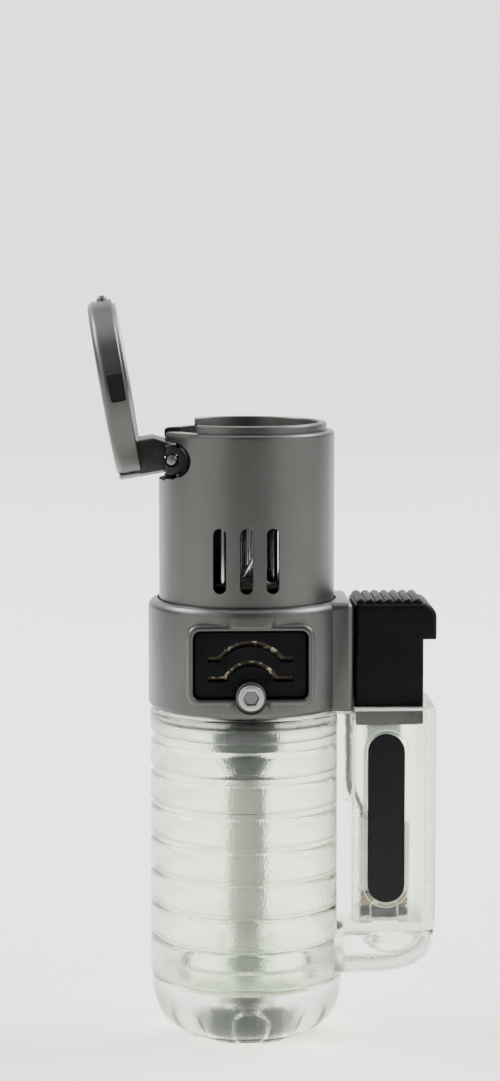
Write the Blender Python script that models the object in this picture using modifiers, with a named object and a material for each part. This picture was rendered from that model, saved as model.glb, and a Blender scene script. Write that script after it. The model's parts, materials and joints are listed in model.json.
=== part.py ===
"""A refillable triple-jet torch lighter with a flip lid, a clear ribbed fuel tank and a thumb trigger.

Sizes are in metres. Every piece is placed about the tank's vertical axis, and one empty moves them
together, so that the origin lies on the base plane under the middle of the whole lighter.
"""

from math import cos, pi, radians, sin

import bmesh
import bpy
from mathutils import Euler, Matrix

MM = 0.001
GAP = 0.3 * MM

# Fuel tank and its housing for the piezo igniter
TANK_RADIUS = 15.0 * MM
TANK_BORE = 13.5 * MM
TANK_BOTTOM = 9.6 * MM
TANK_TOP = 51.15 * MM
TANK_ROOF = 1.4 * MM
GROOVE_FLATS = [flat * MM for flat in (1.2, 0.9, 0.7, 0.6, 0.3, 0.3, 0.3)]
GROOVE_TOP = 46.9 * MM
GROOVE_PITCH = 5.2 * MM
GROOVE_DEPTH = 0.65 * MM
HOUSING_RIGHT = 28.9 * MM
HOUSING_DEPTH = 16.4 * MM
HOUSING_BOTTOM = 17.2 * MM
HOUSING_TOP = 51.9 * MM
HOUSING_FLOOR = 18.3 * MM
CAVITY_LEFT = 15.95 * MM
CAVITY_RIGHT = 27.3 * MM
CAVITY_DEPTH = 12.9 * MM
FOOT_BOTTOM = 10.4 * MM
LABEL_X = 21.1 * MM
LABEL_Z = 34.8 * MM
LABEL_WIDTH = 6.2 * MM
LABEL_HEIGHT = 26.8 * MM
LABEL_RECESS = 0.7 * MM

# Base
CUP_RADIUS = 14.8 * MM
CUP_TOP = 9.3 * MM
RING_RADIUS = 9.6 * MM
DIAL_RADIUS = 5.7 * MM
DIAL_TOP = 5.5 * MM

# Collar
COLLAR_RADIUS = 15.2 * MM
COLLAR_BORE = 13.8 * MM
COLLAR_BOTTOM = 51.5 * MM
COLLAR_TOP = 68.2 * MM
BLOCK_RIGHT = 15.95 * MM
FRAME_Y = -14.9 * MM
WINDOW_Z = 59.7 * MM
WINDOW_WIDTH = 17.3 * MM
WINDOW_HEIGHT = 10.4 * MM
FRAME_MARGIN = 0.95 * MM
SCREW_Z = 55.0 * MM
SCREW_HEAD = 1.95 * MM
BOSS_Y = -15.3 * MM

# Wind guard, burner and lid
GUARD_RADIUS = 13.5 * MM
GUARD_BORE = 12.6 * MM
GUARD_BOTTOM = 66.0 * MM
GUARD_SHOULDER = 93.9 * MM
LIP_RADIUS = 12.3 * MM
LIP_TOP = 95.4 * MM
LIP_LEFT = -7.8 * MM
SLOT_CENTRE_X = -0.6 * MM
SLOT_PITCH = 4.0 * MM
SLOT_Z = 75.2 * MM
SLOT_WIDTH = 1.95 * MM
SLOT_HEIGHT = 9.9 * MM
BURNER_X = 0.9 * MM
BURNER_CIRCLE = 5.6 * MM
BURNER_RADIUS = 3.0 * MM
BURNER_TOP = 92.0 * MM
PIN_X = -11.6 * MM
PIN_Z = 90.0 * MM
PIN_RADIUS = 0.85 * MM
LID_OPEN_ANGLE = radians(100)
LID_RADIUS = 13.6 * MM
LID_X = 0.2 * MM
LID_TOP = 98.4 * MM
LID_SKIRT = 94.5 * MM
LID_LEFT = -13.2 * MM

# Trigger and piezo igniter
TRIGGER_LEFT = 16.3 * MM
TRIGGER_RIGHT = 28.9 * MM
TRIGGER_DEPTH = 13.2 * MM
TRIGGER_TOP = 68.4 * MM
TRIGGER_LIP = 62.2 * MM
STEM_RIGHT = 26.9 * MM
STEM_BOTTOM = 49.1 * MM
PIEZO_X = 21.1 * MM
PIEZO_SIDE = 7.7 * MM
PIEZO_TOP = 33.6 * MM

# Outlet valve and the lever that lifts it
LEVER_X = 9.0 * MM
LEVER_Z = 56.4 * MM

# The whole lighter reaches from the open lid's outer edge to the trigger, and from the screw's head
# to the back of the collar.
LEFT_EXTENT = -24.0 * MM
RIGHT_EXTENT = 28.9 * MM
FRONT_EXTENT = -16.3 * MM
FRAME_X = -(LEFT_EXTENT + RIGHT_EXTENT) / 2
FRAME_Y_SHIFT = -(FRONT_EXTENT + COLLAR_RADIUS) / 2

CLEAR = ("clear_plastic", (0.90, 0.92, 0.84), 0.0, 0.12)
GUNMETAL = ("satin_gunmetal", (0.20, 0.20, 0.19), 0.85, 0.38)
DARK_METAL = ("dark_gunmetal", (0.09, 0.09, 0.085), 0.8, 0.42)
BLACK = ("black_plastic", (0.015, 0.015, 0.017), 0.0, 0.45)
GREY = ("grey_plastic", (0.16, 0.17, 0.18), 0.0, 0.5)
WARM_GREY = ("warm_grey_plastic", (0.42, 0.40, 0.37), 0.0, 0.5)
RUBBER = ("black_rubber", (0.02, 0.02, 0.02), 0.0, 0.7)
STEEL = ("steel", (0.62, 0.62, 0.62), 1.0, 0.25)
CHROME = ("chrome", (0.75, 0.75, 0.75), 1.0, 0.08)
BRASS = ("brass", (0.62, 0.50, 0.24), 1.0, 0.3)
COPPER = ("copper", (0.60, 0.33, 0.18), 1.0, 0.35)
LABEL = ("label_black", (0.006, 0.006, 0.006), 0.0, 0.35)


def clear_scene():
    for obj in list(bpy.data.objects):
        bpy.data.objects.remove(obj, do_unlink=True)


def new_collection(name):
    collection = bpy.data.collections.new(name)
    bpy.context.scene.collection.children.link(collection)
    return collection


clear_scene()
PARTS = new_collection("torch_lighter")
CUTTERS = new_collection("cutters")


def new_empty(name, place, parent=None):
    empty = bpy.data.objects.new(name, None)
    empty.location = place
    empty.parent = parent
    PARTS.objects.link(empty)
    return empty


FRAME = new_empty("lighter_frame", (FRAME_X, FRAME_Y_SHIFT, 0))


def material_for(look):
    name, colour, metallic, roughness = look
    found = bpy.data.materials.get(name)
    if found:
        return found
    made = bpy.data.materials.new(name)
    made.use_nodes = True
    shader = made.node_tree.nodes["Principled BSDF"]
    shader.inputs["Base Color"].default_value = (*colour, 1)
    shader.inputs["Metallic"].default_value = metallic
    shader.inputs["Roughness"].default_value = roughness
    return made


def piece(obj, look, parent=FRAME):
    """Makes an object one of the lighter's pieces."""
    obj.data.materials.append(material_for(look))
    obj.parent = parent
    PARTS.objects.link(obj)
    return obj


def helper(obj, parent=FRAME):
    """Keeps an object as a Boolean's operand, out of sight."""
    obj.parent = parent
    obj.hide_render = True
    obj.display_type = "WIRE"
    CUTTERS.objects.link(obj)
    return obj


def combine(target, other, operation):
    modifier = target.modifiers.new(f"{operation.lower()} {other.name}", "BOOLEAN")
    modifier.operation = operation
    modifier.object = other
    return target


def cut(target, *others, parent=FRAME):
    for other in others:
        combine(target, helper(other, parent), "DIFFERENCE")
    return target


def join(target, *others, parent=FRAME):
    for other in others:
        combine(target, helper(other, parent), "UNION")
    return target


def object_from(name, bm, place=(0, 0, 0)):
    mesh = bpy.data.meshes.new(name)
    bm.to_mesh(mesh)
    bm.free()
    obj = bpy.data.objects.new(name, mesh)
    obj.location = place
    return obj


def bevelled(obj, width, segments=2):
    modifier = obj.modifiers.new("rounded edges", "BEVEL")
    modifier.width = width
    modifier.segments = segments
    modifier.limit_method = "ANGLE"
    return obj


def box(name, low, high, rounding=0.0, segments=2):
    """A box between two corners, with rounded edges if rounding is given."""
    bm = bmesh.new()
    bmesh.ops.create_cube(bm, size=1)
    size = [b - a for a, b in zip(low, high)]
    bmesh.ops.scale(bm, vec=size, verts=bm.verts)
    middle = [(a + b) / 2 for a, b in zip(low, high)]
    obj = object_from(name, bm, middle)
    return bevelled(obj, rounding, segments) if rounding else obj


def rod(name, radius, start, end, axis="Z", segments=24, side=(0, 0)):
    """A cylinder from start to end along an axis. side gives its place on the other two axes."""
    bm = bmesh.new()
    bmesh.ops.create_cone(
        bm, cap_ends=True, segments=segments, radius1=radius, radius2=radius, depth=end - start
    )
    turn = {"X": Matrix.Rotation(pi / 2, 4, "Y"), "Y": Matrix.Rotation(pi / 2, 4, "X"), "Z": Matrix()}
    bmesh.ops.transform(bm, matrix=turn[axis], verts=bm.verts)
    middle = (start + end) / 2
    place = {"X": (middle, *side), "Y": (side[0], middle, side[1]), "Z": (*side, middle)}
    obj = object_from(name, bm, place[axis])
    obj.data.shade_smooth()
    obj.data.set_sharp_from_angle(angle=radians(40))
    return obj


def turned(name, outline, segments=32, closed=False, place=(0, 0, 0)):
    """Turns an outline of (radius, height) points about Z. Its outer side runs from top to bottom."""
    bm = bmesh.new()
    verts = [bm.verts.new((radius, 0, height)) for radius, height in outline]
    for first, second in zip(verts, verts[1:] + ([verts[0]] if closed else [])):
        bm.edges.new((first, second))
    obj = object_from(name, bm, place)
    screw = obj.modifiers.new("turning", "SCREW")
    screw.steps = segments
    screw.render_steps = segments
    screw.use_merge_vertices = True
    screw.merge_threshold = 0.00001
    screw.use_smooth_shade = True
    return obj


def ring(name, inner, outer, low, high, segments=24, chamfer=0.0, place=(0, 0, 0)):
    outline = [(inner, high), (outer - chamfer, high), (outer, high - chamfer)]
    if not chamfer:
        outline = [(inner, high), (outer, high)]
    outline += [(outer, low), (inner, low)]
    return turned(name, outline, segments, closed=True, place=place)


def mesh_from_curve(obj):
    """The object with its curve made into a closed mesh."""
    bpy.context.scene.collection.objects.link(obj)
    graph = bpy.context.evaluated_depsgraph_get()
    mesh = bpy.data.meshes.new_from_object(obj.evaluated_get(graph))
    bm = bmesh.new()
    bm.from_mesh(mesh)
    bmesh.ops.remove_doubles(bm, verts=bm.verts, dist=0.000005)
    bm.to_mesh(mesh)
    bm.free()
    name, place = obj.name, obj.matrix_world.copy()
    bpy.data.objects.remove(obj)
    made = bpy.data.objects.new(name, mesh)
    made.matrix_world = place
    return made


def plate(name, outline, start, end, axis="Y"):
    """A flat outline made thick along an axis: (x, z) points for Y, (x, y) points for Z."""
    curve = bpy.data.curves.new(name, "CURVE")
    curve.dimensions = "2D"
    curve.fill_mode = "BOTH"
    curve.extrude = abs(end - start) / 2
    spline = curve.splines.new("POLY")
    spline.points.add(len(outline) - 1)
    for point, (across, up) in zip(spline.points, outline):
        point.co = (across, up, 0, 1)
    spline.use_cyclic_u = True
    obj = bpy.data.objects.new(name, curve)
    middle = (start + end) / 2
    if axis == "Y":
        obj.rotation_euler = (pi / 2, 0, 0)
        obj.location = (0, middle, 0)
    else:
        obj.location = (0, 0, middle)
    bpy.context.view_layer.update()
    return mesh_from_curve(obj)


def arc(centre, radius, start, end, steps):
    """Points along an arc, with its angles in degrees."""
    angles = [radians(start + (end - start) * i / steps) for i in range(steps + 1)]
    return [(centre[0] + radius * cos(a), centre[1] + radius * sin(a)) for a in angles]


def rounded_rectangle(centre, width, height, radius, steps=4):
    points = []
    corners = ((1, 1, 0), (-1, 1, 90), (-1, -1, 180), (1, -1, 270))
    for side, up, angle in corners:
        middle = (centre[0] + side * (width / 2 - radius), centre[1] + up * (height / 2 - radius))
        points += arc(middle, radius, angle, angle + 90, steps)
    return points


def pill(centre, width, height, steps=8):
    """An upright outline with round ends."""
    radius = width / 2
    reach = height / 2 - radius
    top = arc((centre[0], centre[1] + reach), radius, 0, 180, steps)
    bottom = arc((centre[0], centre[1] - reach), radius, 180, 360, steps)
    return top + bottom


def wire(name, points, radius):
    curve = bpy.data.curves.new(name, "CURVE")
    curve.dimensions = "3D"
    curve.bevel_depth = radius
    curve.bevel_resolution = 2
    curve.use_fill_caps = True
    spline = curve.splines.new("POLY")
    spline.points.add(len(points) - 1)
    for point, place in zip(spline.points, points):
        point.co = (*place, 1)
    return bpy.data.objects.new(name, curve)


def smooth_path(points, steps=4):
    """A Catmull-Rom curve through the points, as a longer list of points."""
    ends = [points[0], *points, points[-1]]
    path = []
    for before, first, second, after in zip(ends, ends[1:], ends[2:], ends[3:]):
        for i in range(steps):
            t = i / steps
            weights = (
                (-t + 2 * t**2 - t**3) / 2,
                (2 - 5 * t**2 + 3 * t**3) / 2,
                (t + 4 * t**2 - 3 * t**3) / 2,
                (-(t**2) + t**3) / 2,
            )
            corners = (before, first, second, after)
            path.append(tuple(sum(w * c[k] for w, c in zip(weights, corners)) for k in range(3)))
    return path + [points[-1]]


def coil(name, radius, wire_radius, low, high, turns, axis="Z", side=(0, 0), steps=8):
    """A coil whose wire stays between low and high along its axis."""
    count = turns * steps
    first, last = low + wire_radius, high - wire_radius
    points = []
    for i in range(count + 1):
        angle = 2 * pi * i / steps
        along = first + (last - first) * i / count
        across = (side[0] + radius * cos(angle), side[1] + radius * sin(angle))
        point = (across[0], along, across[1]) if axis == "Y" else (*across, along)
        points.append(point)
    return wire(name, points, wire_radius)


# ---------------------------------------------------------------- tank and base


def tank_outline():
    points = [(0, TANK_TOP), (TANK_RADIUS - 0.5 * MM, TANK_TOP), (TANK_RADIUS, TANK_TOP - 0.5 * MM)]
    floor = TANK_RADIUS - GROOVE_DEPTH
    for i, flat in enumerate(GROOVE_FLATS):
        height = GROOVE_TOP - i * GROOVE_PITCH
        half = flat / 2
        shoulder = half + 0.55 * MM
        points += [
            (TANK_RADIUS, height + shoulder),
            (floor, height + half),
            (floor, height - half),
            (TANK_RADIUS, height - shoulder),
        ]
    return points + [(TANK_RADIUS, TANK_BOTTOM), (0, TANK_BOTTOM)]


def housing_outline(left, right, depth, corner):
    half = depth / 2
    front = arc((right - corner, -half + corner), corner, -90, 0, 4)
    back = arc((right - corner, half - corner), corner, 0, 90, 4)
    return [(left, -half)] + front + back + [(left, half)]


def make_tank():
    tank = turned("fuel_tank", tank_outline(), 48)
    outline = housing_outline(10 * MM, HOUSING_RIGHT, HOUSING_DEPTH, 2 * MM)
    join(tank, plate("housing block", outline, HOUSING_BOTTOM, HOUSING_TOP, "Z"))
    cavity = (CAVITY_LEFT, -CAVITY_DEPTH / 2, HOUSING_FLOOR)
    above = (CAVITY_RIGHT, CAVITY_DEPTH / 2, HOUSING_TOP + 1 * MM)
    under_collar = (5 * MM, -10 * MM, TANK_TOP)
    beside_collar = (BLOCK_RIGHT + GAP, 10 * MM, HOUSING_TOP + 1 * MM)
    lead_low = (14.9 * MM, -2.8 * MM, 37 * MM)
    lead_high = (16.4 * MM, -1.4 * MM, TANK_TOP + 1 * MM)
    label_outline = pill((LABEL_X, LABEL_Z), LABEL_WIDTH, LABEL_HEIGHT)
    front = -HOUSING_DEPTH / 2
    cut(
        tank,
        rod("tank bore", TANK_BORE, TANK_BOTTOM - 1 * MM, TANK_TOP - TANK_ROOF, segments=48),
        rod("valve hole", 3.6 * MM, TANK_TOP - 3 * MM, TANK_TOP + 1 * MM),
        box("housing cavity", cavity, above),
        box("room for the collar", under_collar, beside_collar),
        box("lead channel", lead_low, lead_high),
        plate("label recess", label_outline, front - 1 * MM, front + LABEL_RECESS),
    )
    tab_low = (18.9 * MM, -6.9 * MM, HOUSING_FLOOR - 0.5 * MM)
    join(tank, box("piezo tab", tab_low, (23.1 * MM, -4.4 * MM, 21.3 * MM)))
    piece(tank, CLEAR)


def foot_outline():
    """The foot from the side: flat on top, curving under at its outer end."""
    top = HOUSING_BOTTOM - GAP
    drop = top - FOOT_BOTTOM
    points = [(13 * MM, top)]
    reach, centre = 13.5 * MM, 15.1 * MM
    for i in range(9):
        angle = radians(90 * i / 8)
        points.append((centre + reach * cos(angle) ** 0.6, top - drop * sin(angle) ** 0.8))
    return points + [(13 * MM, FOOT_BOTTOM)]


def make_foot():
    foot = bevelled(plate("housing_foot", foot_outline(), -7.9 * MM, 7.9 * MM), 0.8 * MM)
    bowl = bmesh.new()
    bmesh.ops.create_uvsphere(bowl, u_segments=20, v_segments=10, radius=5 * MM)
    bmesh.ops.scale(bowl, vec=(1, 1, 0.86), verts=bowl.verts)
    top = HOUSING_BOTTOM - GAP
    cut(foot, object_from("bowl", bowl, (22 * MM, 0, top + 0.01 * MM)))
    cut(foot, rod("tank clearance", TANK_RADIUS + GAP, 5 * MM, 20 * MM, segments=48))
    piece(foot, CLEAR)


def cup_outline():
    centre, reach = 8.8 * MM, CUP_RADIUS - 8.8 * MM
    drop = CUP_TOP - 0.8 * MM
    points = [(11.6 * MM, 12 * MM), (13.2 * MM, 12 * MM), (13.2 * MM, CUP_TOP)]
    for i in range(8):
        angle = radians(80 * i / 7)
        radius = centre + reach * cos(angle) ** 0.83
        points.append((radius, CUP_TOP - drop * sin(angle) ** 0.83))
    points += [(RING_RADIUS + 0.3 * MM, 0.7 * MM), (RING_RADIUS, 0), (6.4 * MM, 0)]
    well = DIAL_TOP + GAP
    points += [(DIAL_RADIUS + 0.4 * MM, 0.5 * MM), (DIAL_RADIUS + 0.4 * MM, well), (3.3 * MM, well)]
    return points + [(3.3 * MM, 15.2 * MM), (4.4 * MM, 15.2 * MM), (4.4 * MM, 8 * MM), (11.6 * MM, 8 * MM)]


def make_base():
    piece(turned("base_cup", cup_outline(), 36, closed=True), CLEAR)
    for side, name in ((-1, "locating_pin_left"), (1, "locating_pin_right")):
        place = (side * 9.4 * MM, -3.5 * MM)
        piece(rod(name, 0.6 * MM, 8.3 * MM, 12.6 * MM, segments=12, side=place), GREY)
    dial = ring("flame_adjuster", 2.5 * MM, DIAL_RADIUS, 0.35 * MM, DIAL_TOP, 32, 0.4 * MM)
    piece(dial, GREY)
    piece(rod("regulator_stem", 2.2 * MM, 9.2 * MM, 16.2 * MM), BRASS)
    piece(ring("regulator_o_ring", 2.45 * MM, 3.1 * MM, 9.5 * MM, 10.7 * MM, 24, 0.15 * MM), RUBBER)
    piece(ring("regulator_seal", 2.45 * MM, 3.1 * MM, 11.35 * MM, 11.75 * MM), RUBBER)
    piece(ring("gas_column", 1.6 * MM, 3.05 * MM, 16.6 * MM, 39.8 * MM, 24), WARM_GREY)


def make_refill_valve():
    outline = [(0, 7.6), (1.6, 7.6), (1.6, 1.9), (1.0, 1.9), (1.0, 1.0), (2.1, 1.0), (2.1, 8.8), (0, 8.8)]
    outline = [(radius * MM, height * MM) for radius, height in reversed(outline)]
    piece(turned("refill_valve_body", outline, 20), BRASS)
    stem = [(0, 3.1), (1.3, 3.1), (1.3, 2.3), (0.7, 2.3), (0.7, 0.45), (0, 0.45)]
    stem = [(radius * MM, height * MM) for radius, height in stem]
    piece(turned("refill_valve_stem", stem, 16), STEEL)
    piece(coil("refill_valve_spring", 1.15 * MM, 0.15 * MM, 3.3 * MM, 7.4 * MM, 3), STEEL)


# ---------------------------------------------------------------- outlet valve, chassis and lever


def make_outlet_valve():
    outline = [(0, 45.4), (2.2, 45.4), (2.2, 52.4), (1.3, 52.4), (1.3, 53.2), (3.3, 53.2)]
    outline += [(3.3, 49.45), (5.3, 49.45), (5.3, 44.7), (2.1, 40.5), (0, 40.5)]
    outline = [(radius * MM, height * MM) for radius, height in outline]
    piece(turned("outlet_valve_body", outline, 24), GREY)
    stem = [(0, 60.2), (0.8, 60.2), (1.0, 59.6), (1.0, 58.1), (2.2, 58.1), (2.2, 57.2), (1.0, 57.2)]
    stem += [(1.0, 46.5), (1.85, 46.5), (1.85, 45.7), (0, 45.7)]
    stem = [(radius * MM, height * MM) for radius, height in stem]
    piece(turned("outlet_valve_stem", stem, 20), BRASS)
    spring = coil("outlet_valve_spring", 1.5 * MM, 0.18 * MM, 46.8 * MM, 52.1 * MM, 4)
    piece(spring, STEEL)


def make_chassis():
    radius = COLLAR_BORE - 0.35 * MM
    chassis = rod("chassis", radius, 51.5 * MM, 53.1 * MM, segments=40)
    post_low, post_high = (-2.6 * MM, -12.3 * MM, 52.6 * MM), (2.6 * MM, -9.8 * MM, 56.6 * MM)
    join(chassis, box("screw post", post_low, post_high))
    for side in (-1, 1):
        near, far = sorted((side * 2.2 * MM, side * 4.4 * MM))
        join(chassis, box("lever post", (7.5 * MM, near, 52.6 * MM), (10.5 * MM, far, 58.4 * MM)))
    cut(chassis, rod("valve neck hole", 3.6 * MM, 50 * MM, 54 * MM))
    cut(chassis, rod("screw hole", 1.25 * MM, -13 * MM, -9 * MM, "Y", 16, (0, SCREW_Z)))
    cut(chassis, rod("lever pin hole", 1.05 * MM, -6 * MM, 6 * MM, "Y", 16, (LEVER_X, LEVER_Z)))
    cut(chassis, box("lead slot", (10.8 * MM, -6.4 * MM, 50 * MM), (16 * MM, 2 * MM, 54 * MM)))
    piece(chassis, BLACK)


def make_lever():
    """The lever's origin is on its pivot. Its forked end lies under the valve stem's flange."""
    pivot = new_empty("lever_axis", (LEVER_X, 0, LEVER_Z), FRAME)
    left, right, half = -LEVER_X - 2.6 * MM, 6.4 * MM, 0.45 * MM
    lever = box("valve_lever", (left, -1.8 * MM, -half), (right, 1.8 * MM, half))
    join(lever, rod("hub", 1.9 * MM, -1.7 * MM, 1.7 * MM, "Y", 20), parent=pivot)
    cut(lever, rod("pin hole", 1.05 * MM, -3 * MM, 3 * MM, "Y", 16), parent=pivot)
    fork_low = (left - 1 * MM, -1.3 * MM, -2 * MM)
    cut(lever, box("fork", fork_low, (-LEVER_X + 1.3 * MM, 1.3 * MM, 2 * MM)), parent=pivot)
    piece(lever, STEEL, pivot)
    pin = rod("lever_pin", 0.75 * MM, -4.6 * MM, 4.6 * MM, "Y", 16, (LEVER_X, LEVER_Z))
    piece(pin, STEEL)


# ---------------------------------------------------------------- collar and window


def collar_outline():
    edge = 0.9 * MM
    points = [(COLLAR_BORE - 1 * MM, COLLAR_TOP)]
    points += arc((COLLAR_RADIUS - edge, COLLAR_TOP - edge), edge, 90, 0, 3)
    points += arc((COLLAR_RADIUS - edge, COLLAR_BOTTOM + edge), edge, 0, -90, 3)
    return points + [(COLLAR_BORE - 1 * MM, COLLAR_BOTTOM)]


def make_collar():
    collar = turned("collar", collar_outline(), 48, closed=True)
    block_low = (9 * MM, -HOUSING_DEPTH / 2, COLLAR_BOTTOM)
    join(collar, box("trigger block", block_low, (BLOCK_RIGHT, HOUSING_DEPTH / 2, COLLAR_TOP), 0.9 * MM))
    wide, tall = WINDOW_WIDTH + 2 * FRAME_MARGIN, WINDOW_HEIGHT + 2 * FRAME_MARGIN
    frame = rounded_rectangle((0, WINDOW_Z), wide, tall, 1.9 * MM)
    join(collar, plate("window frame", frame, FRAME_Y, -10 * MM))
    window = rounded_rectangle((0, WINDOW_Z), WINDOW_WIDTH, WINDOW_HEIGHT, 1.1 * MM)
    cut(collar, plate("window", window, -16 * MM, -8 * MM))
    join(collar, rod("screw boss", 2.5 * MM, BOSS_Y, -10 * MM, "Y", 24, (0, SCREW_Z)))
    bore = rod("collar bore", COLLAR_BORE, COLLAR_BOTTOM - 1 * MM, COLLAR_TOP + 1 * MM, segments=48)
    lever_gap = box("lever gap", (11 * MM, -3.6 * MM, 50 * MM), (17 * MM, 2.3 * MM, 58.6 * MM))
    clearance = rod("screw clearance", 1.25 * MM, -17 * MM, -9 * MM, "Y", 16, (0, SCREW_Z))
    cut(collar, bore, clearance, lever_gap)
    piece(collar, GUNMETAL)


def hat_outline(base_z, width=0.85 * MM):
    """A flat, an arch and a flat, as one bent strip of even width."""
    flat_in, flat_out = 3.8 * MM, 6.4 * MM
    rise = 2.45 * MM
    radius = (flat_in**2 + rise**2) / (2 * rise)
    centre = (0, base_z + rise - radius)
    half_angle = 90 - 62
    outer = arc(centre, radius + width / 2, 180 - half_angle, half_angle, 8)
    inner = arc(centre, radius - width / 2, half_angle, 180 - half_angle, 8)
    low, high = base_z - width / 2, base_z + width / 2
    right = [(flat_out, high), (flat_out, low)]
    left = [(-flat_out, low), (-flat_out, high)]
    outer = [point for point in outer if point[1] > high]
    inner = [point for point in inner if point[1] > low]
    return outer + right + inner + left


def make_window():
    size = (WINDOW_WIDTH - 0.5 * MM, WINDOW_HEIGHT - 0.5 * MM)
    outline = rounded_rectangle((0, WINDOW_Z), *size, 0.9 * MM)
    front, back = -13.8 * MM, -12.9 * MM
    window = plate("window_plate", outline, front, back)
    cut(window, rod("boss notch", 2.8 * MM, -16 * MM, -10 * MM, "Y", 24, (0, SCREW_Z)))
    for base_z in (57.75 * MM, 60.55 * MM):
        cut(window, plate("hat slot", hat_outline(base_z), front - 1 * MM, back + 1 * MM))
    piece(window, BLACK)
    back_low = (-7 * MM, -12.35 * MM, 57.1 * MM)
    piece(box("window_backing", back_low, (7 * MM, -11.95 * MM, 64.4 * MM), 0.1 * MM, 1), BRASS)


def make_screw():
    side, seat = (0, SCREW_Z), BOSS_Y - 0.1 * MM
    head = bevelled(rod("hex_screw", SCREW_HEAD, FRONT_EXTENT, seat, "Y", 24, side), 0.2 * MM)
    join(head, rod("shank", 0.95 * MM, BOSS_Y - 0.3 * MM, -10.4 * MM, "Y", 16, side))
    socket_floor = FRONT_EXTENT + 0.7 * MM
    cut(head, rod("hex socket", 1.15 * MM, FRONT_EXTENT - 1 * MM, socket_floor, "Y", 6, side))
    piece(head, STEEL)


# ---------------------------------------------------------------- wind guard and burner


def guard_outline():
    shoulder = 1.3 * MM
    points = [(11.2 * MM, LIP_TOP), (LIP_RADIUS - 0.3 * MM, LIP_TOP), (LIP_RADIUS, LIP_TOP - 0.3 * MM)]
    points += [(LIP_RADIUS, GUARD_SHOULDER)]
    rounding = shoulder - 0.1 * MM
    points += arc((GUARD_RADIUS - rounding, GUARD_SHOULDER - shoulder), rounding, 80, 0, 3)
    points += [(GUARD_RADIUS, GUARD_BOTTOM), (GUARD_BORE, GUARD_BOTTOM)]
    return points + [(GUARD_BORE, GUARD_SHOULDER - 1 * MM), (11.2 * MM, GUARD_SHOULDER - 1 * MM)]


def make_guard():
    guard = turned("wind_guard", guard_outline(), 48, closed=True)
    for row in (-1, 1):
        start, end = sorted((row * 8 * MM, row * 16 * MM))
        for i in (-1, 0, 1):
            centre = (-row * SLOT_CENTRE_X + i * SLOT_PITCH, SLOT_Z)
            cut(guard, plate("guard slot", pill(centre, SLOT_WIDTH, SLOT_HEIGHT, 4), start, end))
        start, end = sorted((row * 7.3 * MM, row * 16 * MM))
        cut(guard, rod("ear pocket", 2.75 * MM, start, end, "Y", 20, (PIN_X, PIN_Z)))
    arm_low = (-15 * MM, -7.3 * MM, PIN_Z - 3 * MM)
    arm_high = (LIP_LEFT, 7.3 * MM, GUARD_SHOULDER - 1.3 * MM)
    slot_low = (-15 * MM, -4.9 * MM, PIN_Z - 3.6 * MM)
    cut(
        guard,
        box("lip end", (-16 * MM, -14 * MM, GUARD_SHOULDER), (LIP_LEFT, 14 * MM, LIP_TOP + 1 * MM)),
        box("ear room", arm_low, arm_high),
        box("arm slot", slot_low, (LIP_LEFT + 0.01 * MM, 4.9 * MM, GUARD_SHOULDER + 1 * MM)),
    )
    piece(guard, GUNMETAL)


def make_hinge_bracket():
    """Two ears for the lid's pin, on a foot below the arm."""
    leg_left, leg_right, foot_z = -10.2 * MM, -9.3 * MM, 85.2 * MM
    bracket = box("hinge_bracket", (leg_left, -7 * MM, foot_z), (leg_right, 7 * MM, foot_z + 1 * MM))
    ear = [(-1.0 * MM, 2.1 * MM)] + arc((0, 0), 2.3 * MM, 90, -90, 10) + [(-1.0 * MM, -2.1 * MM)]
    ear = [(PIN_X + across, PIN_Z + up) for across, up in ear]
    for side in (-1, 1):
        start, end = sorted((side * 5.3 * MM, side * 7.0 * MM))
        join(bracket, box("leg", (leg_left, start, foot_z + 0.5 * MM), (leg_right, end, PIN_Z)))
        join(bracket, plate("ear", ear, start - 0.01 * MM, end + 0.01 * MM))
    cut(bracket, rod("pin hole", PIN_RADIUS + 0.25 * MM, -9 * MM, 9 * MM, "Y", 16, (PIN_X, PIN_Z)))
    piece(bracket, DARK_METAL)
    piece(rod("hinge_pin", PIN_RADIUS, -7.35 * MM, 7.35 * MM, "Y", 20, (PIN_X, PIN_Z)), STEEL)
    spring = coil("lid_spring", 1.5 * MM, 0.25 * MM, 1.7 * MM, 4.5 * MM, 3, "Y", (PIN_X, PIN_Z))
    piece(spring, STEEL)


def make_burner():
    block = rod("burner_block", 8.6 * MM, 66.3 * MM, 70.6 * MM, segments=32, side=(BURNER_X, 0))
    piece(bevelled(block, 0.4 * MM), BRASS)
    hose = rod("gas_hose", 1.3 * MM, 60.5 * MM, 66.0 * MM, segments=16)
    piece(hose, RUBBER)
    for i in range(3):
        angle = radians(95 + 120 * i)
        place = (BURNER_X + BURNER_CIRCLE * cos(angle), BURNER_CIRCLE * sin(angle), 0)
        name, bore = f"burner_tube_{i + 1}", BURNER_RADIUS - 0.4 * MM
        piece(ring(name, bore, BURNER_RADIUS, 70.9 * MM, BURNER_TOP, place=place), CHROME)
        name, rim = f"burner_nozzle_{i + 1}", bore - GAP
        piece(ring(name, 0.5 * MM, rim, 90.2 * MM, 91.4 * MM, 16, place=place), BRASS)


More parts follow.
